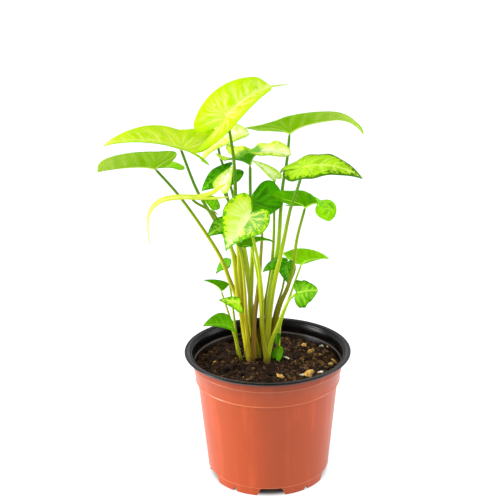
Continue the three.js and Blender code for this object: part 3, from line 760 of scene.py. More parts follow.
def turned(name, profile, segments):
    """A closed turned solid: a disc, its rim extruded ring by ring, and a last face."""
    deselect()
    (radius, height), *rest = [(r * MM, z * MM) for r, z in profile]
    bpy.ops.mesh.primitive_circle_add(
        vertices=segments, radius=radius, fill_type="NGON", location=(0, 0, height),
        rotation=(0, 0, 0),
    )
    bpy.ops.object.transform_apply(location=True, rotation=True, scale=True)
    piece = bpy.context.object
    piece.name = name
    bpy.ops.object.mode_set(mode="EDIT")
    bpy.ops.mesh.select_mode(type="EDGE")
    bpy.ops.mesh.select_all(action="SELECT")
    bpy.ops.mesh.region_to_loop()
    for next_radius, next_height in rest:
        bpy.ops.mesh.extrude_edges_move(
            TRANSFORM_OT_translate={"value": (0, 0, next_height - height)},
        )
        scale = next_radius / radius
        if abs(scale - 1) > 1e-9:
            bpy.ops.transform.resize(
                value=(scale, scale, 1), center_override=(0, 0, next_height),
            )
        radius, height = next_radius, next_height
    bpy.ops.mesh.edge_face_add()
    bpy.ops.mesh.select_all(action="SELECT")
    bpy.ops.mesh.normals_make_consistent(inside=False)
    bpy.ops.object.mode_set(mode="OBJECT")
    return piece


def smooth(piece, degrees):
    """Shades a piece smooth, but for edges sharper than this."""
    choose(piece)
    bpy.ops.object.shade_smooth_by_angle(angle=math.radians(degrees))


def dress(piece, slot, *nodes):
    """Ties a finished piece to the frame."""
    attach(piece, "root")
    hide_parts(*nodes)


def smoothstep(value, low, high):
    """Zero up to low and one past high, with a soft rise between them."""
    share = np.clip((value - low) / (high - low), 0, 1)
    return share * share * (3 - 2 * share)


# ---------------------------------------------------------------- the form of a blade

def pair(value):
    """The values for the left and right halves."""
    return value if isinstance(value, tuple) else (value, value)


def outline_at(shares):
    """Half of a blade's outline at shares from the notch (0) to the tip (1)."""
    last = len(OUTLINE) - 1
    along = shares * last
    step = np.minimum(along.astype(int), last)
    part = (along - step)[:, None]
    before = OUTLINE[np.maximum(step - 1, 0)]
    here = OUTLINE[step]
    after = OUTLINE[np.where(step > last - 1, last, step + 1)]
    beyond = OUTLINE[np.where(step > last - 2, last, step + 2)]
    leave, arrive = (after - before) / 2, (beyond - here) / 2
    return (
        (2 * here - 2 * after + leave + arrive) * part ** 3
        + (3 * after - 3 * here - 2 * leave - arrive) * part ** 2
        + leave * part + here
    )


def turned_about(vectors, axis, angle):
    """Vectors turned about their own unit axes, by angles in radians."""
    cos, sin = np.cos(angle)[:, None], np.sin(angle)[:, None]
    along = np.sum(vectors * axis, axis=1)[:, None]
    return vectors * cos + np.cross(axis, vectors) * sin + axis * along * (1 - cos)


class Blade:
    """The bent middle surface of one blade."""

    def __init__(self, joint, tip, half, lobe, roll, arch, fold, curl, sag=0, flare=0, full=1,
                 drip=0, close=0, knee=(0.5, 0), twist=0, dip=0, wave=0):
        self.joint = np.array(joint, float)
        self.half, self.lobe, self.full = pair(half), pair(lobe), pair(full)
        self.fold, self.curl = pair(fold), pair(curl)
        self.sag, self.flare = pair(sag), pair(flare)
        self.drip, self.close = drip, close
        self.twist, self.dip, self.wave = twist, dip, wave
        chord = np.array(tip, float) - self.joint
        self.span = np.linalg.norm(chord)
        self.along = chord / self.span
        up = np.array((0, 0, 1.0)) - self.along * self.along[2]
        up /= np.linalg.norm(up)
        axis = self.along[None]
        self.up = turned_about(up[None], axis, np.radians([roll]))[0]
        self.right = np.cross(self.along, self.up)
        self.bend_midrib(arch, *knee)

    def bend_midrib(self, arch, knee_at, knee_turn):
        """The midrib's side view, scaled to reach from the joint to the tip."""
        shares = np.linspace(0, 1, MIDRIB_STEPS + 1)
        bent = smoothstep(shares, knee_at - KNEE_REACH, knee_at + KNEE_REACH)
        headings = -np.radians(arch * shares + knee_turn * bent)
        mean = (headings[1:] + headings[:-1]) / 2
        steps = np.stack((np.cos(mean), np.sin(mean)), 1) / MIDRIB_STEPS
        points = np.vstack(((0, 0), np.cumsum(steps, 0)))
        reach = np.hypot(*points[-1])
        tilt = math.atan2(points[-1][1], points[-1][0])
        cos, sin = math.cos(tilt) / reach, math.sin(tilt) / reach
        self.shares = shares
        self.headings = headings - tilt
        self.midrib_x = points[:, 0] * cos + points[:, 1] * sin
        self.midrib_y = points[:, 1] * cos - points[:, 0] * sin
        self.length = self.span / reach

    @staticmethod
    def sided(values, side):
        """A value between those of the left (-1) and right (1) halves."""
        left, right = values
        return left + (right - left) * (side + 1) / 2

    def place(self, across, share):
        """The place in mm of a point `across` mm from the midrib, at a share of its length."""
        side = np.clip(across / (LOBE_SPLIT * sum(self.half) / 2), -1, 1)
        half = self.sided(self.half, np.sign(across))
        forward = np.maximum(share, 0)
        back = np.maximum(-share, 0) * self.length
        behind = np.minimum(back / self.sided(self.lobe, side), 1)
        start = self.headings[0]
        angle = np.interp(forward, self.shares, self.headings)
        angle = angle + (np.radians(self.sided(self.sag, side)) - start) * behind
        mean = (start + angle) / 2
        out = self.span * np.interp(forward, self.shares, self.midrib_x) - back * np.cos(mean)
        high = self.span * np.interp(forward, self.shares, self.midrib_y) - back * np.sin(mean)
        cos, sin = np.cos(angle)[:, None], np.sin(angle)[:, None]
        tangent = self.along * cos + self.up * sin
        normal = self.up * cos - self.along * sin
        turn = np.radians(self.twist * forward ** 2)
        aside = turned_about(np.broadcast_to(self.right, tangent.shape), tangent, turn)
        normal = turned_about(normal, tangent, turn)
        width = np.abs(across)
        droop = self.sided(self.curl, side) * width / (2 * half)
        rise = np.radians(
            self.sided(self.fold, side) + self.sided(self.flare, side) * behind - droop
        )
        left_start, right_start = WAVE_STARTS
        wave = WAVE_TURN * share + np.where(across > 0, right_start, left_start)
        ripple = np.sin(wave) * (width / half) ** 2
        radius = np.hypot(across, share * self.length)
        funnel = 1 - np.exp(-radius / (FUNNEL_SPREAD * self.length))
        high = high + self.dip * funnel * (1 - forward)
        return (
            self.joint + self.along * out[:, None] + self.up * high[:, None]
            + aside * (across * np.cos(rise))[:, None]
            + normal * (width * np.sin(rise) + self.wave * ripple)[:, None]
        )

    def corner(self, u, v):
        """Across in mm and share along for a grid: u runs over the width, v over the outline."""
        side = np.where(u < 0.5, -1.0, 1.0)
        run = np.abs(2 * u - 1)
        edge = outline_at(v)
        widen = 1 + (self.sided(self.full, side) - 1) * np.clip(3 * edge[:, 1], 0, 1)
        narrow = 1 - self.close * np.maximum(0, 1 - 3 * v)
        out = self.sided(self.half, side) * narrow * np.maximum(edge[:, 0], 0) ** (1 / widen)
        if self.drip > 0:
            drawn = (PLAIN_RIBS - 1) / PLAIN_RIBS
            neck = smoothstep(v, drawn - 1.2 / PLAIN_RIBS, drawn)
            out = out * (1 - neck) + DRIP_HALF * neck
            out = np.where(v > drawn, DRIP_HALF * (1 - v) * PLAIN_RIBS, out)
        lobe = self.sided(self.lobe, np.where(v < 1e-6, 0, side))
        end = edge[:, 1] * np.where(edge[:, 1] < 0, lobe / self.length, 1 - self.drip)
        if self.drip > 0:
            last = outline_at(np.array([drawn]))[0, 1] * (1 - self.drip)
            end = np.where(v > drawn, last + (1 - last) * (v - drawn) * PLAIN_RIBS, end)
        climb = VEIN_CLIMB * np.maximum(edge[:, 0], 0) * sum(self.half) / 2
        root = np.maximum(0, end - climb / self.length)
        share = root + (end - root) * run ** 1.2
        return side * out * run, share

    def vein_places(self, u, v):
        """Where each point lies on the flat blade, for the pattern of its veins."""
        across, share = self.corner(u, v)
        run = np.abs(2 * u - 1)
        phase = np.interp(v, SIDE_VEINS, range(len(SIDE_VEINS)))
        ahead = np.minimum(v + 0.01, 1)
        behind = np.maximum(v - 0.01, 0)
        turn = np.interp(ahead, SIDE_VEINS, range(len(SIDE_VEINS)))
        turn = turn - np.interp(behind, SIDE_VEINS, range(len(SIDE_VEINS)))
        step = np.stack(self.corner(u, ahead), 1) - np.stack(self.corner(u, behind), 1)
        step[:, 1] *= self.length
        side = np.where(u < 0.5, -1, 1)
        rib = np.stack(self.corner(np.where(u < 0.5, 0.0, 1.0), v), 1)
        climb = VEIN_CLIMB * np.abs(rib[:, 0]) / self.length
        rib[:, 1] = (rib[:, 1] - np.maximum(0, rib[:, 1] - climb)) * self.length
        reach = np.maximum(np.hypot(rib[:, 0], rib[:, 1]), 1e-3)
        spacing = np.abs(step[:, 0] * rib[:, 1] - step[:, 1] * rib[:, 0]) / reach
        spacing = spacing / np.maximum(turn, 1e-6)
        margin = (1 - run) * reach
        flat = np.stack((across, share * self.length, margin), 1)
        vein = np.stack((phase, spacing, side * run), 1)
        return {"flat": flat, "vein": vein}

    def bulge(self, u, v):
        """How far the blade rises between its veins, in mm."""
        places = self.vein_places(u, v)
        flat, vein = places["flat"], places["vein"]
        off = np.abs(vein[:, 0] - np.round(vein[:, 0])) * vein[:, 1]
        near = np.minimum(off, np.abs(flat[:, 0]) + np.maximum(0, -flat[:, 1]))
        edge = np.clip(flat[:, 2] / MARGIN_REACH, 0, 1)
        return BULGE * smoothstep(near, 0, BULGE_REACH) * edge

    def surface(self, u, v):
        """The places in mm of a grid's points on the bulging blade."""
        across, share = self.corner(u, v)
        aside = self.place(across + 0.2, share) - self.place(across - 0.2, share)
        ahead = self.place(across, share + 0.004) - self.place(across, share - 0.004)
        normal = np.cross(aside, ahead)
        normal /= np.maximum(np.linalg.norm(normal, axis=1), 1e-9)[:, None]
        return self.place(across, share) + normal * self.bulge(u, v)[:, None]


def vein_tubes(name, blade, thick):
    """The raised midrib under a blade, and its two main veins into the lobes."""
    ribs = [(0.0, np.linspace(0, MIDRIB_REACH, 24), thick)]
    for side, half, lobe in zip((-1, 1), blade.half, blade.lobe):
        back = np.linspace(0, -LOBE_RIB_REACH * lobe / blade.length, 14)
        bow = np.sin(np.linspace(0, 1, 14) * math.pi / 2) ** 1.1
        ribs.append((side * LOBE_RIB_SPREAD * half * bow, back, thick * LOBE_RIB_SLIMNESS))
    tubes = []
    for number, (across, share, size) in enumerate(ribs):
        across = np.broadcast_to(np.asarray(across, float), share.shape)
        path = blade.place(across, share)
        radii = size * (1 - np.linspace(0, 1, len(path)) ** 1.3) + RIB_END
        normal = np.cross(
            blade.place(across + 0.5, share) - blade.place(across - 0.5, share),
            blade.place(across, share + 0.01) - blade.place(across, share - 0.01),
        )
        normal /= np.linalg.norm(normal, axis=1)[:, None]
        tubes.append(tube(f"{name}_{number}", path - normal * RIB_DEPTH, radii, RIB_SIDES))
    return tubes


# ---------------------------------------------------------------- stalks

def smooth_path(points, count):
    """Even places along a centripetal curve through the points."""
    points = [np.array(point, float) for point in points]
    points = [2 * points[0] - points[1], *points, 2 * points[-1] - points[-2]]
    fine = []
    for before, here, after, beyond in zip(points, points[1:], points[2:], points[3:]):
        lead, step, tail = (
            math.sqrt(max(np.linalg.norm(b - a), 1e-6))
            for a, b in ((before, here), (here, after), (after, beyond))
        )
        leave = (here - before) / lead - (after - before) / (lead + step) + (after - here) / step
        arrive = (after - here) / step - (beyond - here) / (step + tail) + (beyond - after) / tail
        leave, arrive = leave * step, arrive * step
        for t in np.linspace(0, 1, 24, endpoint=False):
            fine.append(
                here + leave * t + (3 * after - 3 * here - 2 * leave - arrive) * t ** 2
                + (2 * here - 2 * after + leave + arrive) * t ** 3
            )
    fine.append(points[-2])
    fine = np.array(fine)
    lengths = np.concatenate(([0], np.cumsum(np.linalg.norm(np.diff(fine, axis=0), axis=1))))
    even = np.linspace(0, lengths[-1], count)
    return np.stack([np.interp(even, lengths, fine[:, k]) for k in range(3)], 1)


def tube(name, path, radii, sides, groove=0.0, flute=0.0):
    """A tube of a changing radius along a path, closed at both ends, slit low down and fluted."""
    tangents = np.gradient(path, axis=0)
    tangents /= np.linalg.norm(tangents, axis=1)[:, None]
    first = np.array((0, -1.0, 0.15))
    normals = []
    for tangent in tangents:
        first = first - tangent * np.dot(first, tangent)
        first = first / np.linalg.norm(first)
        normals.append(first)
    normals = np.array(normals)
    sideways = np.cross(tangents, normals)
    path = np.vstack((path[:1], path, path[-1:]))
    radii = np.concatenate(([0], radii, [0]))
    normals = np.vstack((normals[:1], normals, normals[-1:]))
    sideways = np.vstack((sideways[:1], sideways, sideways[-1:]))

    def shape(u, v):
        step = np.round(v * (len(path) - 1)).astype(int)
        turn = 2 * math.pi * u
        slit = np.exp(-((np.minimum(turn, 2 * math.pi - turn) / SLIT_WIDTH) ** 2))
        open_part = 1 - smoothstep(v, *SLIT_ENDS)
        radius = radii[step] * (1 - groove * slit * open_part + flute * np.cos(FLUTES * turn))
        return (
            path[step] + normals[step] * (radius * np.cos(turn))[:, None]
            + sideways[step] * (radius * np.sin(turn))[:, None]
        )

    made = sheet(name, sides, len(path) - 1, shape)
    return merged(made, 1e-6)


# ---------------------------------------------------------------- finishes

def blade_marks(f, look):
    """Where the marks of a blade lie, drawn on its flattened shape.

    The mesh gives each point's mm across and along from the joint, its mm from the margin, its
    count of side veins, their spacing in mm, and its run from the midrib to the margin.
    """
    across, along, margin = f.parts(f.attribute("flat"))
    phase, spacing, run = f.parts(f.attribute("vein"))
    patch = f.grain(170, 3) - 0.5
    fine = f.grain(800, 4, roughness=0.65) - 0.5
    phase = phase + patch * 0.35 + fine * 0.12
    feather = f.grain(1.0, 3, f.vector(phase * 4.2, run * 2.6, across * 0.03))
    streak = f.grain(1.0, 3, f.vector(phase * 1.3 + 7.0, run * 1.5, across * 0.04))
    middle = abs(across) + (0.0 - along).most(0.0) * 0.6
    side = phase.off_whole() * spacing
    outer = abs(run)
    apart = f.fade(0.0 - spacing, -4.5, -1.0)
    broken = f.fade(1.0 - f.grain(260, 2), 0.42, 0.62)
    line = f.fade(side + fine * 0.7, 0.0, 0.8) * f.fade(outer, 0.55, 1.0) * broken * apart
    midrib = f.fade(middle + fine * 0.6, 0.2, 1.0)
    net = f.node(
        "ShaderNodeTexVoronoi", {"feature": "DISTANCE_TO_EDGE"},
        {"Vector": f.place(), "Scale": 420.0, "Randomness": 1.0},
    )
    dark = f.fade(1.0 - streak + fine * 0.5, 0.42, 0.56) * look["mottle"]
    reach = look["pale_reach"]
    centre = f.fade(middle + patch * reach * 1.4 + fine * 5.0, 0.0, reach)
    mottled = rim = throat = 0.0  # marks that only some finishes have
    if look.get("one_sided"):
        mottled = f.fade(across, -2.5, -0.5)
        dark = dark * (mottled + 0.1) * f.fade(outer, 0.8, 1.0)
        centre = centre * (1.0 - mottled * 0.75)
        feather = feather + mottled * 0.12
    far = (across * across + along * along) ** 0.5
    if "dark_throat" in look:
        throat = f.fade(far + patch * 8, *look["dark_throat"])
    if look["border"]:
        speck = margin + patch * 5 + (f.grain(420, 2) - 0.5) * 24
        rim = f.fade(speck, 0.4, look["border"] * 0.5)
        rim = rim * f.fade(margin, 1.5, look["border"] * 2.2)
        rim = rim.most(f.fade(margin + fine * 2, 0.5, look["border"] * 0.4))
        dark = dark.most(rim * 0.95)
    return SimpleNamespace(
        side=side, outer=outer, apart=apart, far=far, patch=patch, fine=fine, feather=feather,
        nerve=line.most(midrib), cells=f.fade(net, 0.02, 0.1) * 0.35, dark=dark, centre=centre,
        edge=f.fade(margin, 0.15, 0.7), rim=rim, throat=throat, mottled=mottled,
    )


def upper_face(f, look, marks):
    """The dark marks, and the sockets of a patterned face: pale veins, streaks and mottles."""
    side, outer, fine, dark, edge = marks.side, marks.outer, marks.fine, marks.dark, marks.edge
    halo = f.fade(side + fine * 3.2, 0.1, look["halo"]) * f.fade(outer, 0.3, 0.95)
    halo = halo * (0.25 + 0.75 * marks.apart) * (1.0 - marks.mottled * 0.7)
    strokes = f.fade(1.0 - marks.feather + fine * 0.4, 0.36, 0.52) * look["stroke"]
    strokes = strokes * f.fade(outer, 0.5, 1.0)
    pale = marks.centre.most(halo * 0.7).most(strokes) * 0.9
    pale = (pale * (1.0 - dark * 0.6) + marks.nerve * look["nerve"]).least(1.0)
    pale = pale * (1.0 - marks.rim * 0.8)
    base = f.blend(dark, colour(look["lamina"]), colour(look["deep"]))
    base = f.blend(pale, base, colour(look["pale"]))
    if "dark_throat" in look:
        base = f.blend(marks.throat * 0.9, base, colour(look["under"]))
        edge = edge * (1.0 - marks.throat)
    base = f.blend(edge * 0.5, base, colour(look["deep"]))
    relief = 0.4 * marks.nerve + 0.25 * marks.cells + 0.3 * fine
    return dark, dict(base=base, rough=0.42 + 0.16 * fine, normal=f.bump(relief, 0.3, 0.4))


def under_face(f, look, marks):
    """The dark marks, and the sockets of an underside, which is plainer and changes with reach."""
    fine, dark, edge = marks.fine, marks.dark, marks.edge
    soft = f.fade(marks.side + fine * 3, 0.1, 2.8) * (0.2 + 0.8 * marks.apart)
    pale = (marks.nerve * 0.2 + soft * 0.4 + marks.cells * 0.15).least(1.0)
    beyond = f.fade(marks.far + marks.patch * 14, *look.get("throat", (50.0, 8.0)))
    if "throat" in look:
        pale, dark, edge = pale * beyond, dark * beyond, edge * beyond
    base = f.blend(beyond, colour(look["under"]), colour(look["tip"]))
    base = f.blend(pale, base, colour(look["tip"]))
    base = f.blend(dark * 0.6, base, colour(look["deep"]))
    base = f.blend(edge * 0.4, base, colour(look["deep"]))
    relief = marks.nerve + 0.5 * marks.cells + 0.3 * fine
    return dark, dict(base=base, rough=0.55 + 0.15 * fine, normal=f.bump(relief, 0.3, 0.6))


def blade_finishes(name, look):
    """The two faces of a blade. Part of the light comes through it, less where it is dark."""
    made = []
    for face, paint, through in (("upper", upper_face, 0.3), ("under", under_face, 0.4)):
        f = Finish(f"{name}_{face}")
        marks = blade_marks(f, look)
        dark, sockets = paint(f, look, marks)
        skin = f.surface(specular=0.04, **sockets)
        light = f.node("ShaderNodeBsdfTranslucent", values={"Color": (*colour(look["glow"]), 1.0)})
        share = through * (1.0 - dark * 0.6) * (1.0 - marks.throat * 0.8)
        lit = f.node("ShaderNodeMixShader", values={0: share, 1: skin, 2: light})
        made.append(f.finished(lit))
    return made


def vein_finish(name, look):
    """The raised veins under a blade, pale where the look has no colour for them."""
    f = Finish(f"{name}_rib")
    fine = f.grain(1500, 2)
    base = f.blend(fine * 0.5, colour(look.get("rib", look["pale"])), colour(look["under"]))
    return f.finished(f.surface(base=base, rough=0.5, specular=0.35))


def stalk_finish(name, foot, stalk, shade, gleam, sheath_top):
    """A stalk: green above, its sheath tinted below, with fine long streaks of painted shade and
    highlight, soiled at its foot.

    Heights are in mm, each wobbled by noise.
    """
    f = Finish(name)
    _, _, height = f.parts(f.place())
    uv = f.node("ShaderNodeUVMap", {"uv_map": "UVMap"})
    around, along, _ = f.parts(uv)
    long_streak = f.grain(1.0, 3, f.vector(around * 34.0, along * 5.0, height * 30.0))
    cloud = f.grain(160, 3)
    speck = f.grain(1400, 2)
    level = height * 1000 + (cloud - 0.5) * 26
    low = f.fade(level, 104.0, sheath_top)
    high = f.fade(0.0 - level, -245.0, -175.0)
    base = f.blend(high, colour(stalk), colour("#4c8000"))
    base = f.blend(low, base, colour(foot))
    # Painted shade: broad patches round the stalk and the fine streaks darken towards the shade
    # tint, most on the sheath.
    broad = f.grain(1.0, 2, f.vector(around * 4.0, along * 1.5, height * 9.0))
    painted_shade = (f.fade(broad, 0.3, 0.62) * 0.7).most(f.fade(long_streak, 0.32, 0.52) * 0.45)
    base = f.blend(painted_shade * (0.2 + 0.8 * low), base, colour(shade))
    # Painted highlights: pale streaks in the gleam tint, fewer high up.
    bright = f.fade(1.0 - long_streak, 0.3, 0.46) * 0.5
    base = f.blend(bright * (1.0 - high * 0.8), base, colour(gleam))
    soiled = f.fade(height * 1000 + (speck - 0.5) * 9, 92.0, 101.0) * 0.75
    base = f.blend(soiled, base, colour("#3c2a14"))
    relief = long_streak * 0.7 + speck * 0.3
    return f.finished(f.surface(
        base=base, rough=0.3 + 0.2 * speck, specular=0.12, normal=f.bump(relief, 0.2, 0.5),
    ))


def terracotta_finish(base_colour):
    """The pot's outer skin: glossy moulded plastic, with painted highlights along its ridges and
    painted shade under the rim.
    """
    f = Finish("pot_outside")
    x, y, height = f.parts(f.place())
    level = height * 1000
    cloud = f.grain(24, 4)
    speck = f.grain(1500, 2)
    fleck = f.grain(420, 2)
    drag = f.grain(1.0, 4, f.vector(x * 90, y * 90, height * 9))
    tone = f.blend(f.fade(cloud, 0.35, 0.65) * 0.25, base_colour, colour("#b03c08"))
    tone = f.blend(f.fade(drag, 0.3, 0.5) * 0.22, tone, colour("#cf5a26"))
    tone = f.blend(f.fade(fleck, 0.24, 0.32) * 0.35, tone, colour("#7c2c10"))
    # Painted highlights: pale lines along the two ridges and the foot line, where their edges
    # catch the light.
    for ridge, width in ((RIDGE_UPPER, 0.6), (RIDGE_LOWER, 0.6), (FOOT_LINE, 0.45)):
        ridge_highlight = f.fade(abs(level + (speck - 0.5) * 0.5 - ridge), width * 0.1, width * 1.8)
        tone = f.blend(ridge_highlight * (0.1 + 0.6 * cloud), tone, colour("#dc8458"))
    ticks = f.fade(f.grain(1.0, 2, f.vector(x * 700, y * 700, height * 20)), 0.3, 0.42)
    below_rim = f.fade(abs(level - 97.5), 1.5, 4.5)
    tone = f.blend(ticks * below_rim * 0.45, tone, colour("#5c2412"))
    below = UNDER_RIM - level
    shade = f.fade(below, 0.3, 6.0) * 0.55 + f.fade(below, 5.0, 18.0) * 0.35
    tone = f.blend(shade, tone, colour("#642000"))
    return f.finished(f.surface(
        base=tone, rough=0.3 + 0.14 * cloud, specular=0.35, coat=0.2, coat_rough=0.18,
        normal=f.bump(0.6 * speck + 0.4 * drag, 0.05, 0.25),
    ))


def black_finish(base_colour):
    """The pot's inside and rim: satin black, with a painted reflection on the outer lip and
    painted highlight lines, dusty where the mix was.
    """
    f = Finish("pot_inside")
    x, y, height = f.parts(f.place())
    radius = (x * x + y * y) ** 0.5 * 1000
    level = height * 1000
    cloud = f.grain(70, 4)
    speck = f.grain(900, 3)
    dusty = f.fade(level + (cloud - 0.5) * 14, 90.0, 98.0) * f.fade(speck, 0.4, 0.6) * 0.4
    tone = f.blend(dusty, base_colour, colour("#3c2a1c"))
    # Painted reflection: a grey sheen on the rim's outer lip, where the key light would reflect.
    lip_reflection = f.fade(abs(level - 102.3), 0.2, 0.7) * f.fade(0.0 - radius, -64.7, -64.2)
    tone = f.blend(lip_reflection * cloud * 0.6, tone, colour("#7c7478"))
    # Painted highlights: thin pale lines on the rim's bead and on the inner ledge.
    line = f.fade(abs(radius - 62.3), 0.1, 0.4).most(f.fade(abs(level - 93.5), 0.2, 0.6))
    tone = f.blend(line * cloud * 0.6, tone, colour("#787074"))
    return f.finished(f.surface(
        base=tone, rough=0.16 + 0.2 * cloud, specular=0.15, normal=f.bump(speck, 0.04, 0.2),
    ))


def peat_finish(peat, bark):
    """The dark mix: near-black patches of painted shade, browner on the right, with pale fibres.
    """
    f = Finish("peat")
    x, _, _ = f.parts(f.place())
    clod = f.grain(150, 5)
    crumb = f.grain(1100, 4)
    fibre = f.grain(500, 3)
    # Painted shade: near-black patches that stand for the deep shadows between clods.
    tone = f.blend(f.fade(1.0 - clod - x * 3, 0.4, 0.6) * 0.8, peat, colour("#0e0804"))
    tone = f.blend(f.fade(1.0 - fibre, 0.3, 0.45) * 0.4, tone, bark)
    tone = f.blend(f.fade(1.0 - crumb, 0.26, 0.36) * 0.5, tone, colour("#9c7848"))
    right = f.fade(0.0 - x, -0.045, 0.0) * f.fade(clod, 0.4, 0.6)
    tone = f.blend(right * 0.5, tone, colour("#644424"))
    relief = clod * 0.5 + crumb * 0.5
    return f.finished(f.surface(
        base=tone, rough=0.88, specular=0.2, normal=f.bump(relief, 1.5, 1.0),
    ))


def crumb_finish(name, base, shade):
    """Rough grains of one kind, shaded in patches."""
    f = Finish(name)
    patch = f.grain(420, 3)
    grit = f.grain(1600, 3)
    tone = f.blend(f.fade(patch, 0.35, 0.65) * 0.8, base, shade)
    return f.finished(f.surface(
        base=tone, rough=0.8, specular=0.2, normal=f.bump(grit, 0.4, 0.9),
    ))


# ---------------------------------------------------------------- the pot

def outside_of(pot):
    """The outside of the wall from foot to flange, in mm."""
    foot = pot.foot_radius / MM
    return [
        (foot, 0.0), (foot + 0.38, 6.2), (foot + 0.9, 6.5), (foot + 1.35, FOOT_LINE),
        (foot + 1.3, 7.5), (55.1, RIDGE_LOWER - 1.1), (55.4, RIDGE_LOWER - 0.8),
        (56.6, RIDGE_LOWER - 0.35), (56.9, RIDGE_LOWER), (56.85, RIDGE_LOWER + 0.4),
        (56.65, RIDGE_LOWER + 0.8), (58.35, RIDGE_UPPER - 1.0), (58.5, RIDGE_UPPER - 0.7),
        (59.2, RIDGE_UPPER - 0.25), (59.4, RIDGE_UPPER + 0.1), (59.35, RIDGE_UPPER + 0.5),
        (59.2, RIDGE_UPPER + 0.9), (60.0, 100.9), (60.4, 101.5),
    ]


def wall_radius(outside, height):
    """The outside's radius at a height, in mm."""
    radii, heights = zip(*outside)
    return float(np.interp(height, heights, radii))


class PLANT_OT_pot(bpy.types.Operator):
    """Turn the pot's moulded shell, cut its foot and holes, and finish both skins"""

    bl_idname = "plant.pot"
    bl_label = "Pot"

    def execute(self, context):
        pot = context.scene.pot_settings
        outside = outside_of(pot)
        top, rim = pot.height / MM, pot.rim_radius / MM
        foot = pot.foot_radius / MM
        inside = [(r - WALL, z) for r, z in reversed(outside[5:])]
        flange = [
            (rim - 0.9, 101.7), (rim - 0.3, 101.85), (rim, 102.25), (rim, 102.85),
            (rim - 0.25, 103.25), (rim - 0.7, top), (rim - 1.5, top - 0.1), (rim - 1.9, top - 0.3),
            (rim - 2.4, top - 0.3), (rim - 2.8, top - 0.05), (rim - 3.2, top - 0.05),
            (rim - 3.6, top - 0.35), (rim - 4.1, top - 0.6), (rim - 4.6, top - 1.1),
            (rim - 4.9, top - 1.8),
        ]
        body = turned("pot_shell", [
            (9.0, 0.0), (9.6, 0.4), (13.0, FLOOR), (foot - 1.2, FLOOR), (foot - 1.6, 0.3),
            (foot - 1.4, 0.0), *outside, *flange, *inside,
            (foot - 0.2, FLOOR + WALL), (12.0, FLOOR + WALL), (8.0, WALL),
        ], pot.segments)
        self.cut_foot(body, foot)
        smooth(body, 32)
        body.data.materials.append(terracotta_finish(pot.terracotta))
        body.data.materials.append(black_finish(pot.black))
        for face in body.data.polygons:
            radius = math.hypot(face.center.x, face.center.y) / MM
            height = face.center.z / MM
            inner = radius < wall_radius(outside, height) - WALL / 2 and height > FLOOR + WALL / 2
            face.material_index = 1 if inner or height > FLANGE else 0
        dress(body, "pot_plastic", "pot")
        return {"FINISHED"}

    def cut_foot(self, body, foot):
        """Five arches and five notches round the foot, and five round drain holes."""
        cutters = []
        for number in range(FOOT_CUTS):
            base, crown, height, rounding = NOTCH if number % 2 else ARCH
            angle = math.radians(FOOT_TURN + 360 / FOOT_CUTS * number)
            deselect()
            bpy.ops.mesh.primitive_cube_add(size=1, location=(0, 0, 0))
            cutter = bpy.context.object
            for corner in cutter.data.vertices:
                raised = corner.co.z > 0
                width = crown if raised else base
                corner.co = (
                    math.copysign(width / 2, corner.co.x) * MM,
                    (math.copysign(CUT_REACH, corner.co.y) - foot) * MM,
                    (height if raised else -1.0) * MM,
                )
            choose(cutter)
            modifier = cutter.modifiers.new("round", "BEVEL")
            modifier.width = rounding * MM
            modifier.segments = 3
            modifier.limit_method = "NONE"
            bpy.ops.object.modifier_apply(modifier="round")
            cutter.data.transform(Matrix.Rotation(angle, 4, "Z"))
            cutters.append(cutter)
        circle = DRAIN_CIRCLE * MM
        for number in range(DRAINS):
            angle = math.radians(360 / DRAINS * number)
            middle = (FLOOR + WALL / 2) * MM
            deselect()
            bpy.ops.mesh.primitive_cylinder_add(
                vertices=32, radius=DRAIN_RADIUS * MM, depth=4 * MM,
                location=(circle * math.sin(angle), -circle * math.cos(angle), middle),
            )
            bpy.ops.object.transform_apply(location=True, rotation=True, scale=True)
            cutters.append(bpy.context.object)
        tool = joined(cutters, "pot_cutters")
        cut = body.modifiers.new("cut", "BOOLEAN")
        cut.operation = "DIFFERENCE"
        cut.solver = "EXACT"
        cut.object = tool
        apply_all(body)
        bpy.data.objects.remove(tool)


# ---------------------------------------------------------------- the mix

def mix_height(x, y):
    """The mix's smooth level, mounded round the stalks, in mm."""
    away = np.hypot(x - CLUMP[0], y - CLUMP[1])
    mound = MIX_MOUND * np.exp(-((away / MIX_MOUND_RADIUS) ** 2))
    lumps = (
        np.sin(x * 0.31 + 1.7) * np.cos(y * 0.27 - 0.6)
        + 0.6 * np.sin(x * 0.53 - y * 0.44 + 2.1)
        + 0.5 * np.cos(x * 0.19 + y * 0.71)
    )
    return MIX_LEVEL + mound + MIX_LUMP * lumps * 0.5


# Large clods in the mix: x, y, radius and height in mm.
CLODS = (
    (13, -28, 7.5, 4.2), (39, 9, 8, 2.2), (45, -9, 6, 2), (-31, 12, 8, 1.8), (27, 29, 7, 2),
    (-18, -34, 7, 1.8), (-40, -12, 6, 1.6),
)


def clod(x, y):
    """The mix's own rough surface, in mm above its smooth level."""
    coarse = noise.noise(Vector((x * 0.11, y * 0.11, 3.0)))
    medium = abs(noise.noise(Vector((x * 0.26, y * 0.26, 9.0))))
    fine = abs(noise.noise(Vector((x * 0.8, y * 0.8, 21.0))))
    lumps = sum(
        height * math.exp(-((math.hypot(x - cx, y - cy) / radius + 0.5 * medium) ** 4))
        for cx, cy, radius, height in CLODS
    )
    return 2.2 * coarse - 3.2 * medium - 1.2 * fine + 1.3 + lumps


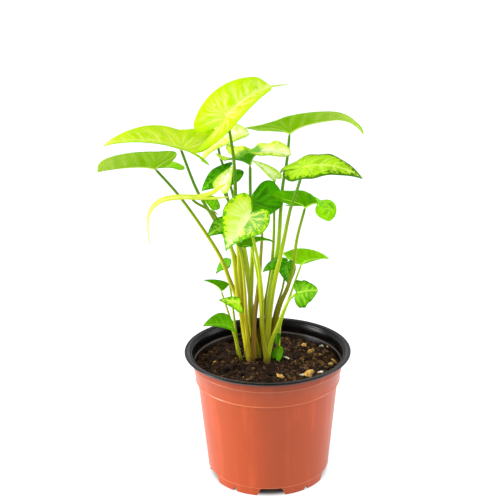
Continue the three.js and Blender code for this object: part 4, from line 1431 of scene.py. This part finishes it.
class PLANT_OT_mix(bpy.types.Operator):
    """Fill the pot with rough dark potting mix"""

    bl_idname = "plant.mix"
    bl_label = "Potting mix"

    def execute(self, context):
        settings = context.scene.mix_settings
        outside = outside_of(context.scene.pot_settings)
        gap = WALL + MIX_GAP
        rim = wall_radius(outside, MIX_LEVEL) - gap
        walls = [(wall_radius(outside, z) - gap, z) for z in (7.5, 30, 55, RIDGE_LOWER - 1.2)]
        top = [(rim * share, MIX_LEVEL) for share in np.linspace(1, 0.02, 56)]
        body = turned("mix_fill", [(10.0, 1.6), (13.5, 6.6), (40.0, 6.6), *walls, *top], 200)
        for corner in body.data.vertices:
            if corner.co.z > (MIX_LEVEL - 1) * MM:
                x, y = corner.co.x / MM, corner.co.y / MM
                corner.co.z = (float(mix_height(x, y)) + clod(x, y)) * MM
        smooth(body, 80)
        body.data.materials.append(peat_finish(settings.peat, settings.bark))
        dress(body, "potting_mix", "potting_mix")
        return {"FINISHED"}


# Chips and grains that lie on the mix: x, y, size in mm, and kind.
CHIPS = (
    (35, 23, 2.4, "straw"), (30, 32, 1.8, "straw"), (49, 30, 1.6, "straw"), (52, 4, 2.2, "straw"),
    (32, -4, 1.2, "perlite"), (31, -20, 3.4, "straw"), (26, -21, 1.8, "perlite"),
    (10, -32, 2, "straw"), (41, -15, 2, "perlite"), (21, 0, 1.5, "straw"), (15, 5, 1.8, "perlite"),
    (47, 39, 1.5, "straw"), (44, 33, 1.4, "perlite"), (-42, 1, 1.7, "straw"), (50, -2, 2, "straw"),
    (38, 8, 2.2, "bark"), (26, -34, 1.6, "bark"), (5, -44, 1.2, "straw"), (-24, -34, 1.4, "bark"),
    (9, -25, 2.2, "peat"), (17, -31, 2, "bark"), (14, -34, 1.6, "bark"), (42, 2, 3, "bark"),
    (36, 14, 3.4, "peat"), (-30, -12, 4, "peat"), (-38, 10, 3.6, "peat"), (30, -10, 3, "bark"),
    (-10, -36, 3.4, "peat"), (46, 16, 3.2, "bark"), (-20, -24, 3, "peat"),
)


class PLANT_OT_crumbs(bpy.types.Operator):
    """Scatter crumbs of peat and bark, pale chips and perlite on the mix"""

    bl_idname = "plant.crumbs"
    bl_label = "Crumbs and chips"

    def execute(self, context):
        settings = context.scene.mix_settings
        dice = np.random.default_rng(CRUMB_SEED)
        places = {"peat": [], "bark": [], "straw": [], "perlite": []}
        for x, y, size, kind in CHIPS:
            places[kind].append((x, y, size))
        for _ in range(settings.crumbs):
            radius = CRUMB_REACH * math.sqrt(dice.uniform(0.0, 1.0))
            angle = dice.uniform(0, 2 * math.pi)
            x, y = radius * math.cos(angle), radius * math.sin(angle)
            brown = 0.22 + 0.2 * (x > 8)
            kind = dice.choice(("peat", "bark", "straw"), p=(0.97 - brown, brown, 0.03))
            size = 0.35 + 1.3 * dice.uniform() ** 2.5
            places[kind].append((x, y, size * (0.5 if kind == "straw" else 1)))
        deselect()
        bpy.ops.mesh.primitive_ico_sphere_add(subdivisions=2, radius=1)
        seed = bpy.context.object
        corners = np.array([corner.co for corner in seed.data.vertices])
        faces = np.array([face.vertices[:] for face in seed.data.polygons])
        bpy.data.objects.remove(seed)
        tones = {
            "peat": crumb_finish("crumb_peat", settings.peat, colour("#120a05")),
            "bark": crumb_finish("crumb_bark", settings.bark, colour("#3a2012")),
            "straw": crumb_finish("crumb_straw", settings.straw, colour("#8c6434")),
            "perlite": crumb_finish("crumb_perlite", settings.perlite, colour("#b8a888")),
        }
        for kind, spots in places.items():
            self.scatter(kind, spots, corners, faces, tones[kind], dice)
        return {"FINISHED"}

    def scatter(self, kind, spots, corners, faces, tone, dice):
        """One piece of all the crumbs of a kind, each a lumpy ball that is pressed flat."""
        points, triangles = [], []
        for number, (x, y, size) in enumerate(spots):
            lump = corners * dice.uniform(0.6, 1.4, (1, 3)) * size
            lump[:, 2] *= 0.6
            for k in range(len(lump)):
                push = noise.noise(Vector(corners[k]) * 1.8 + Vector((number * 3.1, 0, 0)))
                lump[k] *= 1 + 0.9 * push
            turn = Matrix.Rotation(dice.uniform(0, 6.28), 3, "Z")
            tip = Matrix.Rotation(dice.uniform(-0.6, 0.6), 3, "X")
            lump = lump @ np.array(turn @ tip).T
            ground = float(mix_height(x, y)) + clod(x, y) + size * 0.25
            triangles.append(faces + len(points) * len(corners))
            points.append(lump + np.array((x, y, ground)))
        mesh = bpy.data.meshes.new(f"mix_{kind}")
        mesh.from_pydata(np.vstack(points) * MM, [], np.vstack(triangles).tolist())
        piece = bpy.data.objects.new(f"mix_{kind}", mesh)
        bpy.context.collection.objects.link(piece)
        mesh.materials.append(tone)
        smooth(piece, 50)
        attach(piece, "root")


# ---------------------------------------------------------------- the plant

# Tints of the stalks: at the foot, above, in the painted shade and the painted highlight,
# and the height the foot's tint reaches in mm.
STALK_TINTS = {
    "tan": ("#b0a81c", "#9cac18", "#8c7000", "#e4dc58", 205.0),
    "rose": ("#907028", "#98a014", "#543c08", "#c0a058", 215.0),
    "umber": ("#806808", "#8ca80c", "#483400", "#a89020", 185.0),
    "olive": ("#a8a820", "#a4bc14", "#606400", "#ccd050", 180.0),
    "green": ("#9cb41c", "#98bc14", "#547400", "#c0d448", 150.0),
    "bright": ("#b4c428", "#a8c820", "#6c8008", "#dce868", 150.0),
}

# The tint of each blade's stalk, by the blade's number.
STALK_OF = {
    "01": "tan", "02": "rose", "03": "tan", "04": "green", "05": "umber", "06": "olive",
    "07": "olive", "08": "olive", "09": "tan", "10": "umber", "11": "umber", "12": "tan",
    "13": "rose", "14": "umber", "15": "bright", "16": "green", "17": "umber", "18": "bright",
    "19": "olive", "20": "green", "21": "olive", "22": "tan", "23": "bright", "24": "green",
    "25": "green", "26": "umber", "27": "olive",
}


class PLANT_OT_stalks(bpy.types.Operator):
    """Grow each shoot's stem and sheathed stalks"""

    bl_idname = "plant.stalks"
    bl_label = "Shoots and stalks"

    def execute(self, context):
        settings = context.scene.plant_settings
        tints = {name: stalk_finish(f"stalk_{name}", *tint) for name, tint in STALK_TINTS.items()}
        for name, shoot in SHOOTS.items():
            x, y = shoot["base"]
            ground = float(mix_height(x, y))
            path = [(x, y, ground - NECK_DEPTH + step) for step in range(len(NECK_SHAPE))]
            radii = shoot["neck"] * np.array(NECK_SHAPE)
            parts = [tube("neck", np.array(path), radii, settings.stalk_sides)]
            parts[0].data.materials.append(tints["umber"])
            for petiole in shoot["petioles"]:
                leaf = petiole["leaf"]
                joint = np.array(LEAVES[leaf]["joint"], float)
                last = petiole["via"][-1] - joint
                joint += STALK_STOP * last / np.linalg.norm(last)
                start, end = petiole["radii"]
                path = smooth_path([(x, y, ground - 1), *petiole["via"], joint], STALK_STEPS)
                left = 1 - np.linspace(0, 1, len(path))
                end *= STALK_SLIMNESS
                radii = end + (start - end) * left ** 1.5
                radii = radii * (0.6 + 0.4 * smoothstep(left, 0, 0.015))
                part = tube(
                    "stalk", path, radii, settings.stalk_sides, SHEATH_GROOVE, FLUTE_DEPTH,
                )
                part.data.materials.append(tints[STALK_OF[leaf]])
                parts.append(part)
            body = joined(parts, f"stalks_{name}")
            smooth(body, 60)
            dress(body, "petiole", f"shoot_{name}")
        return {"FINISHED"}


class PLANT_OT_blades(bpy.types.Operator):
    """Grow every blade with its veins and patterned faces"""

    bl_idname = "plant.blades"
    bl_label = "Blades"

    def execute(self, context):
        settings = context.scene.plant_settings
        materials = {name: blade_finishes(name, look) for name, look in FINISHES.items()}
        ribs = {name: vein_finish(name, look) for name, look in FINISHES.items()}
        slots = {node["node"]: node["material_slot"] for node in frame["record"]["subparts"]}
        for number, leaf in LEAVES.items():
            blade = Blade(**leaf)
            rows, columns, thick = settings.blade_rows, 32, 0.8
            if blade.length <= LARGE_BLADE:
                rows, columns, thick = rows // 2, 16, 0.5
            look = BLADE_FINISH[number]
            body = sheet(f"blade_{number}", columns, rows, blade.surface, blade.vein_places)
            merged(body, 1e-6)
            for material in materials[look]:
                body.data.materials.append(material)
            wall = body.modifiers.new("thickness", "SOLIDIFY")
            wall.thickness = settings.blade_thickness
            wall.offset = 0
            wall.use_even_offset = False
            wall.material_offset = 1
            wall.material_offset_rim = 1
            apply_all(body)
            tubes = vein_tubes(f"ribs_{number}", blade, thick)
            for part in tubes:
                part.data.materials.append(ribs[look])
            body = joined([body, *tubes], f"blade_{number}")
            smooth(body, 60)
            node = f"leaf_{number}"
            dress(body, slots[node], node)
        return {"FINISHED"}


# ---------------------------------------------------------------- the studio

def lamp(name, place, size, power):
    """A soft white light that faces the middle of the plant."""
    data = bpy.data.lights.new(name, "AREA")
    data.shape = "RECTANGLE"
    data.size, data.size_y = size
    data.energy = power
    item = bpy.data.objects.new(name, data)
    bpy.context.collection.objects.link(item)
    item.location = place
    aim = Vector(PLANT_MIDDLE) - Vector(place)
    item.rotation_euler = aim.to_track_quat("-Z", "Y").to_euler()


class PLANT_OT_studio(bpy.types.Operator):
    """Set up the pale floor, the soft lights and the camera"""

    bl_idname = "plant.studio"
    bl_label = "Studio"

    def execute(self, context):
        settings = context.scene.studio_settings
        deselect()
        bpy.ops.mesh.primitive_plane_add(size=30)
        floor = bpy.context.object
        floor.name = "studio_floor"
        f = Finish("studio_floor")
        base = f.blend(f.grain(3, 2) * 0.02, settings.floor, (0.9, 0.9, 0.9))
        x, y, _ = f.parts(f.place())
        radius = (x * x + y * y) ** 0.5 * 1000
        # Painted shadow: the floor's glow fades out under and round the pot's foot.
        painted_contact_shadow = f.fade(radius, FLOOR_LIT_RADIUS, FLOOR_LIT_RADIUS + 9.0)
        lit = f.blend(painted_contact_shadow, (1.0, 1.0, 1.0), (0.0, 0.0, 0.0))
        paper = f.surface(
            base=base, rough=0.9, specular=0.0, emission=lit, glow=settings.floor_glow,
        )
        floor.data.materials.append(f.finished(paper))

        world = bpy.data.worlds.new("studio_sky")
        world.use_nodes = True
        sky = world.node_tree.nodes["Background"]
        sky.inputs["Color"].default_value = (1, 1, 1, 1)
        sky.inputs["Strength"].default_value = settings.sky
        context.scene.world = world
        context.scene.view_settings.view_transform = "Standard"

        for name, place, size in LIGHTS:
            lamp(f"{name}_light", place, size, getattr(settings, name))
        self.camera(context, settings)
        return {"FINISHED"}

    def camera(self, context, settings):
        """The camera, looking a little down at the front of the pot."""
        pitch, yaw, roll = map(math.radians, (CAMERA_PITCH, CAMERA_YAW, CAMERA_ROLL))
        ahead = Vector((
            math.sin(yaw) * math.cos(pitch), math.cos(yaw) * math.cos(pitch), -math.sin(pitch),
        ))
        right = Vector((math.cos(yaw), -math.sin(yaw), 0))
        up = right.cross(ahead)
        tilted_right = right * math.cos(roll) + up * math.sin(roll)
        tilted_up = up * math.cos(roll) - right * math.sin(roll)
        data = bpy.data.cameras.new("camera")
        data.lens = settings.focal_length
        data.sensor_width = 36
        item = bpy.data.objects.new("camera", data)
        bpy.context.collection.objects.link(item)
        turn = Matrix((tilted_right, tilted_up, -ahead)).transposed()
        item.matrix_world = Matrix.Translation(CAMERA_PLACE) @ turn.to_4x4()
        context.scene.camera = item


# ---------------------------------------------------------------- panel and registration

OPERATORS = (
    PLANT_OT_pot, PLANT_OT_mix, PLANT_OT_crumbs, PLANT_OT_stalks, PLANT_OT_blades,
    PLANT_OT_studio,
)
SETTINGS = {
    "pot_settings": PotSettings, "mix_settings": MixSettings,
    "plant_settings": PlantSettings, "studio_settings": StudioSettings,
}


class PLANT_PT_panel(bpy.types.Panel):
    """Lists the pieces, with their sizes and colours"""

    bl_idname = "PLANT_PT_panel"
    bl_label = "Arrowhead plant"
    bl_space_type = "VIEW_3D"
    bl_region_type = "UI"
    bl_category = "Plant"

    def draw(self, context):
        for operator in OPERATORS:
            self.layout.operator(operator.bl_idname)
        for name, group in SETTINGS.items():
            box = self.layout.box()
            for key in group.__annotations__:
                box.prop(getattr(context.scene, name), key)


def register():
    """Adds the settings, the operators and the panel."""
    for item in (*SETTINGS.values(), *OPERATORS, PLANT_PT_panel):
        bpy.utils.register_class(item)
    for name, group in SETTINGS.items():
        setattr(bpy.types.Scene, name, PointerProperty(type=group))


def unregister():
    """Takes out what register added."""
    for name in SETTINGS:
        delattr(bpy.types.Scene, name)
    for item in reversed((*SETTINGS.values(), *OPERATORS, PLANT_PT_panel)):
        bpy.utils.unregister_class(item)


def main():
    """Builds every piece and the studio."""
    register()
    for piece in ("pot", "mix", "crumbs", "stalks", "blades", "studio"):
        getattr(bpy.ops.plant, piece)()


if __name__ == "__main__":
    main()
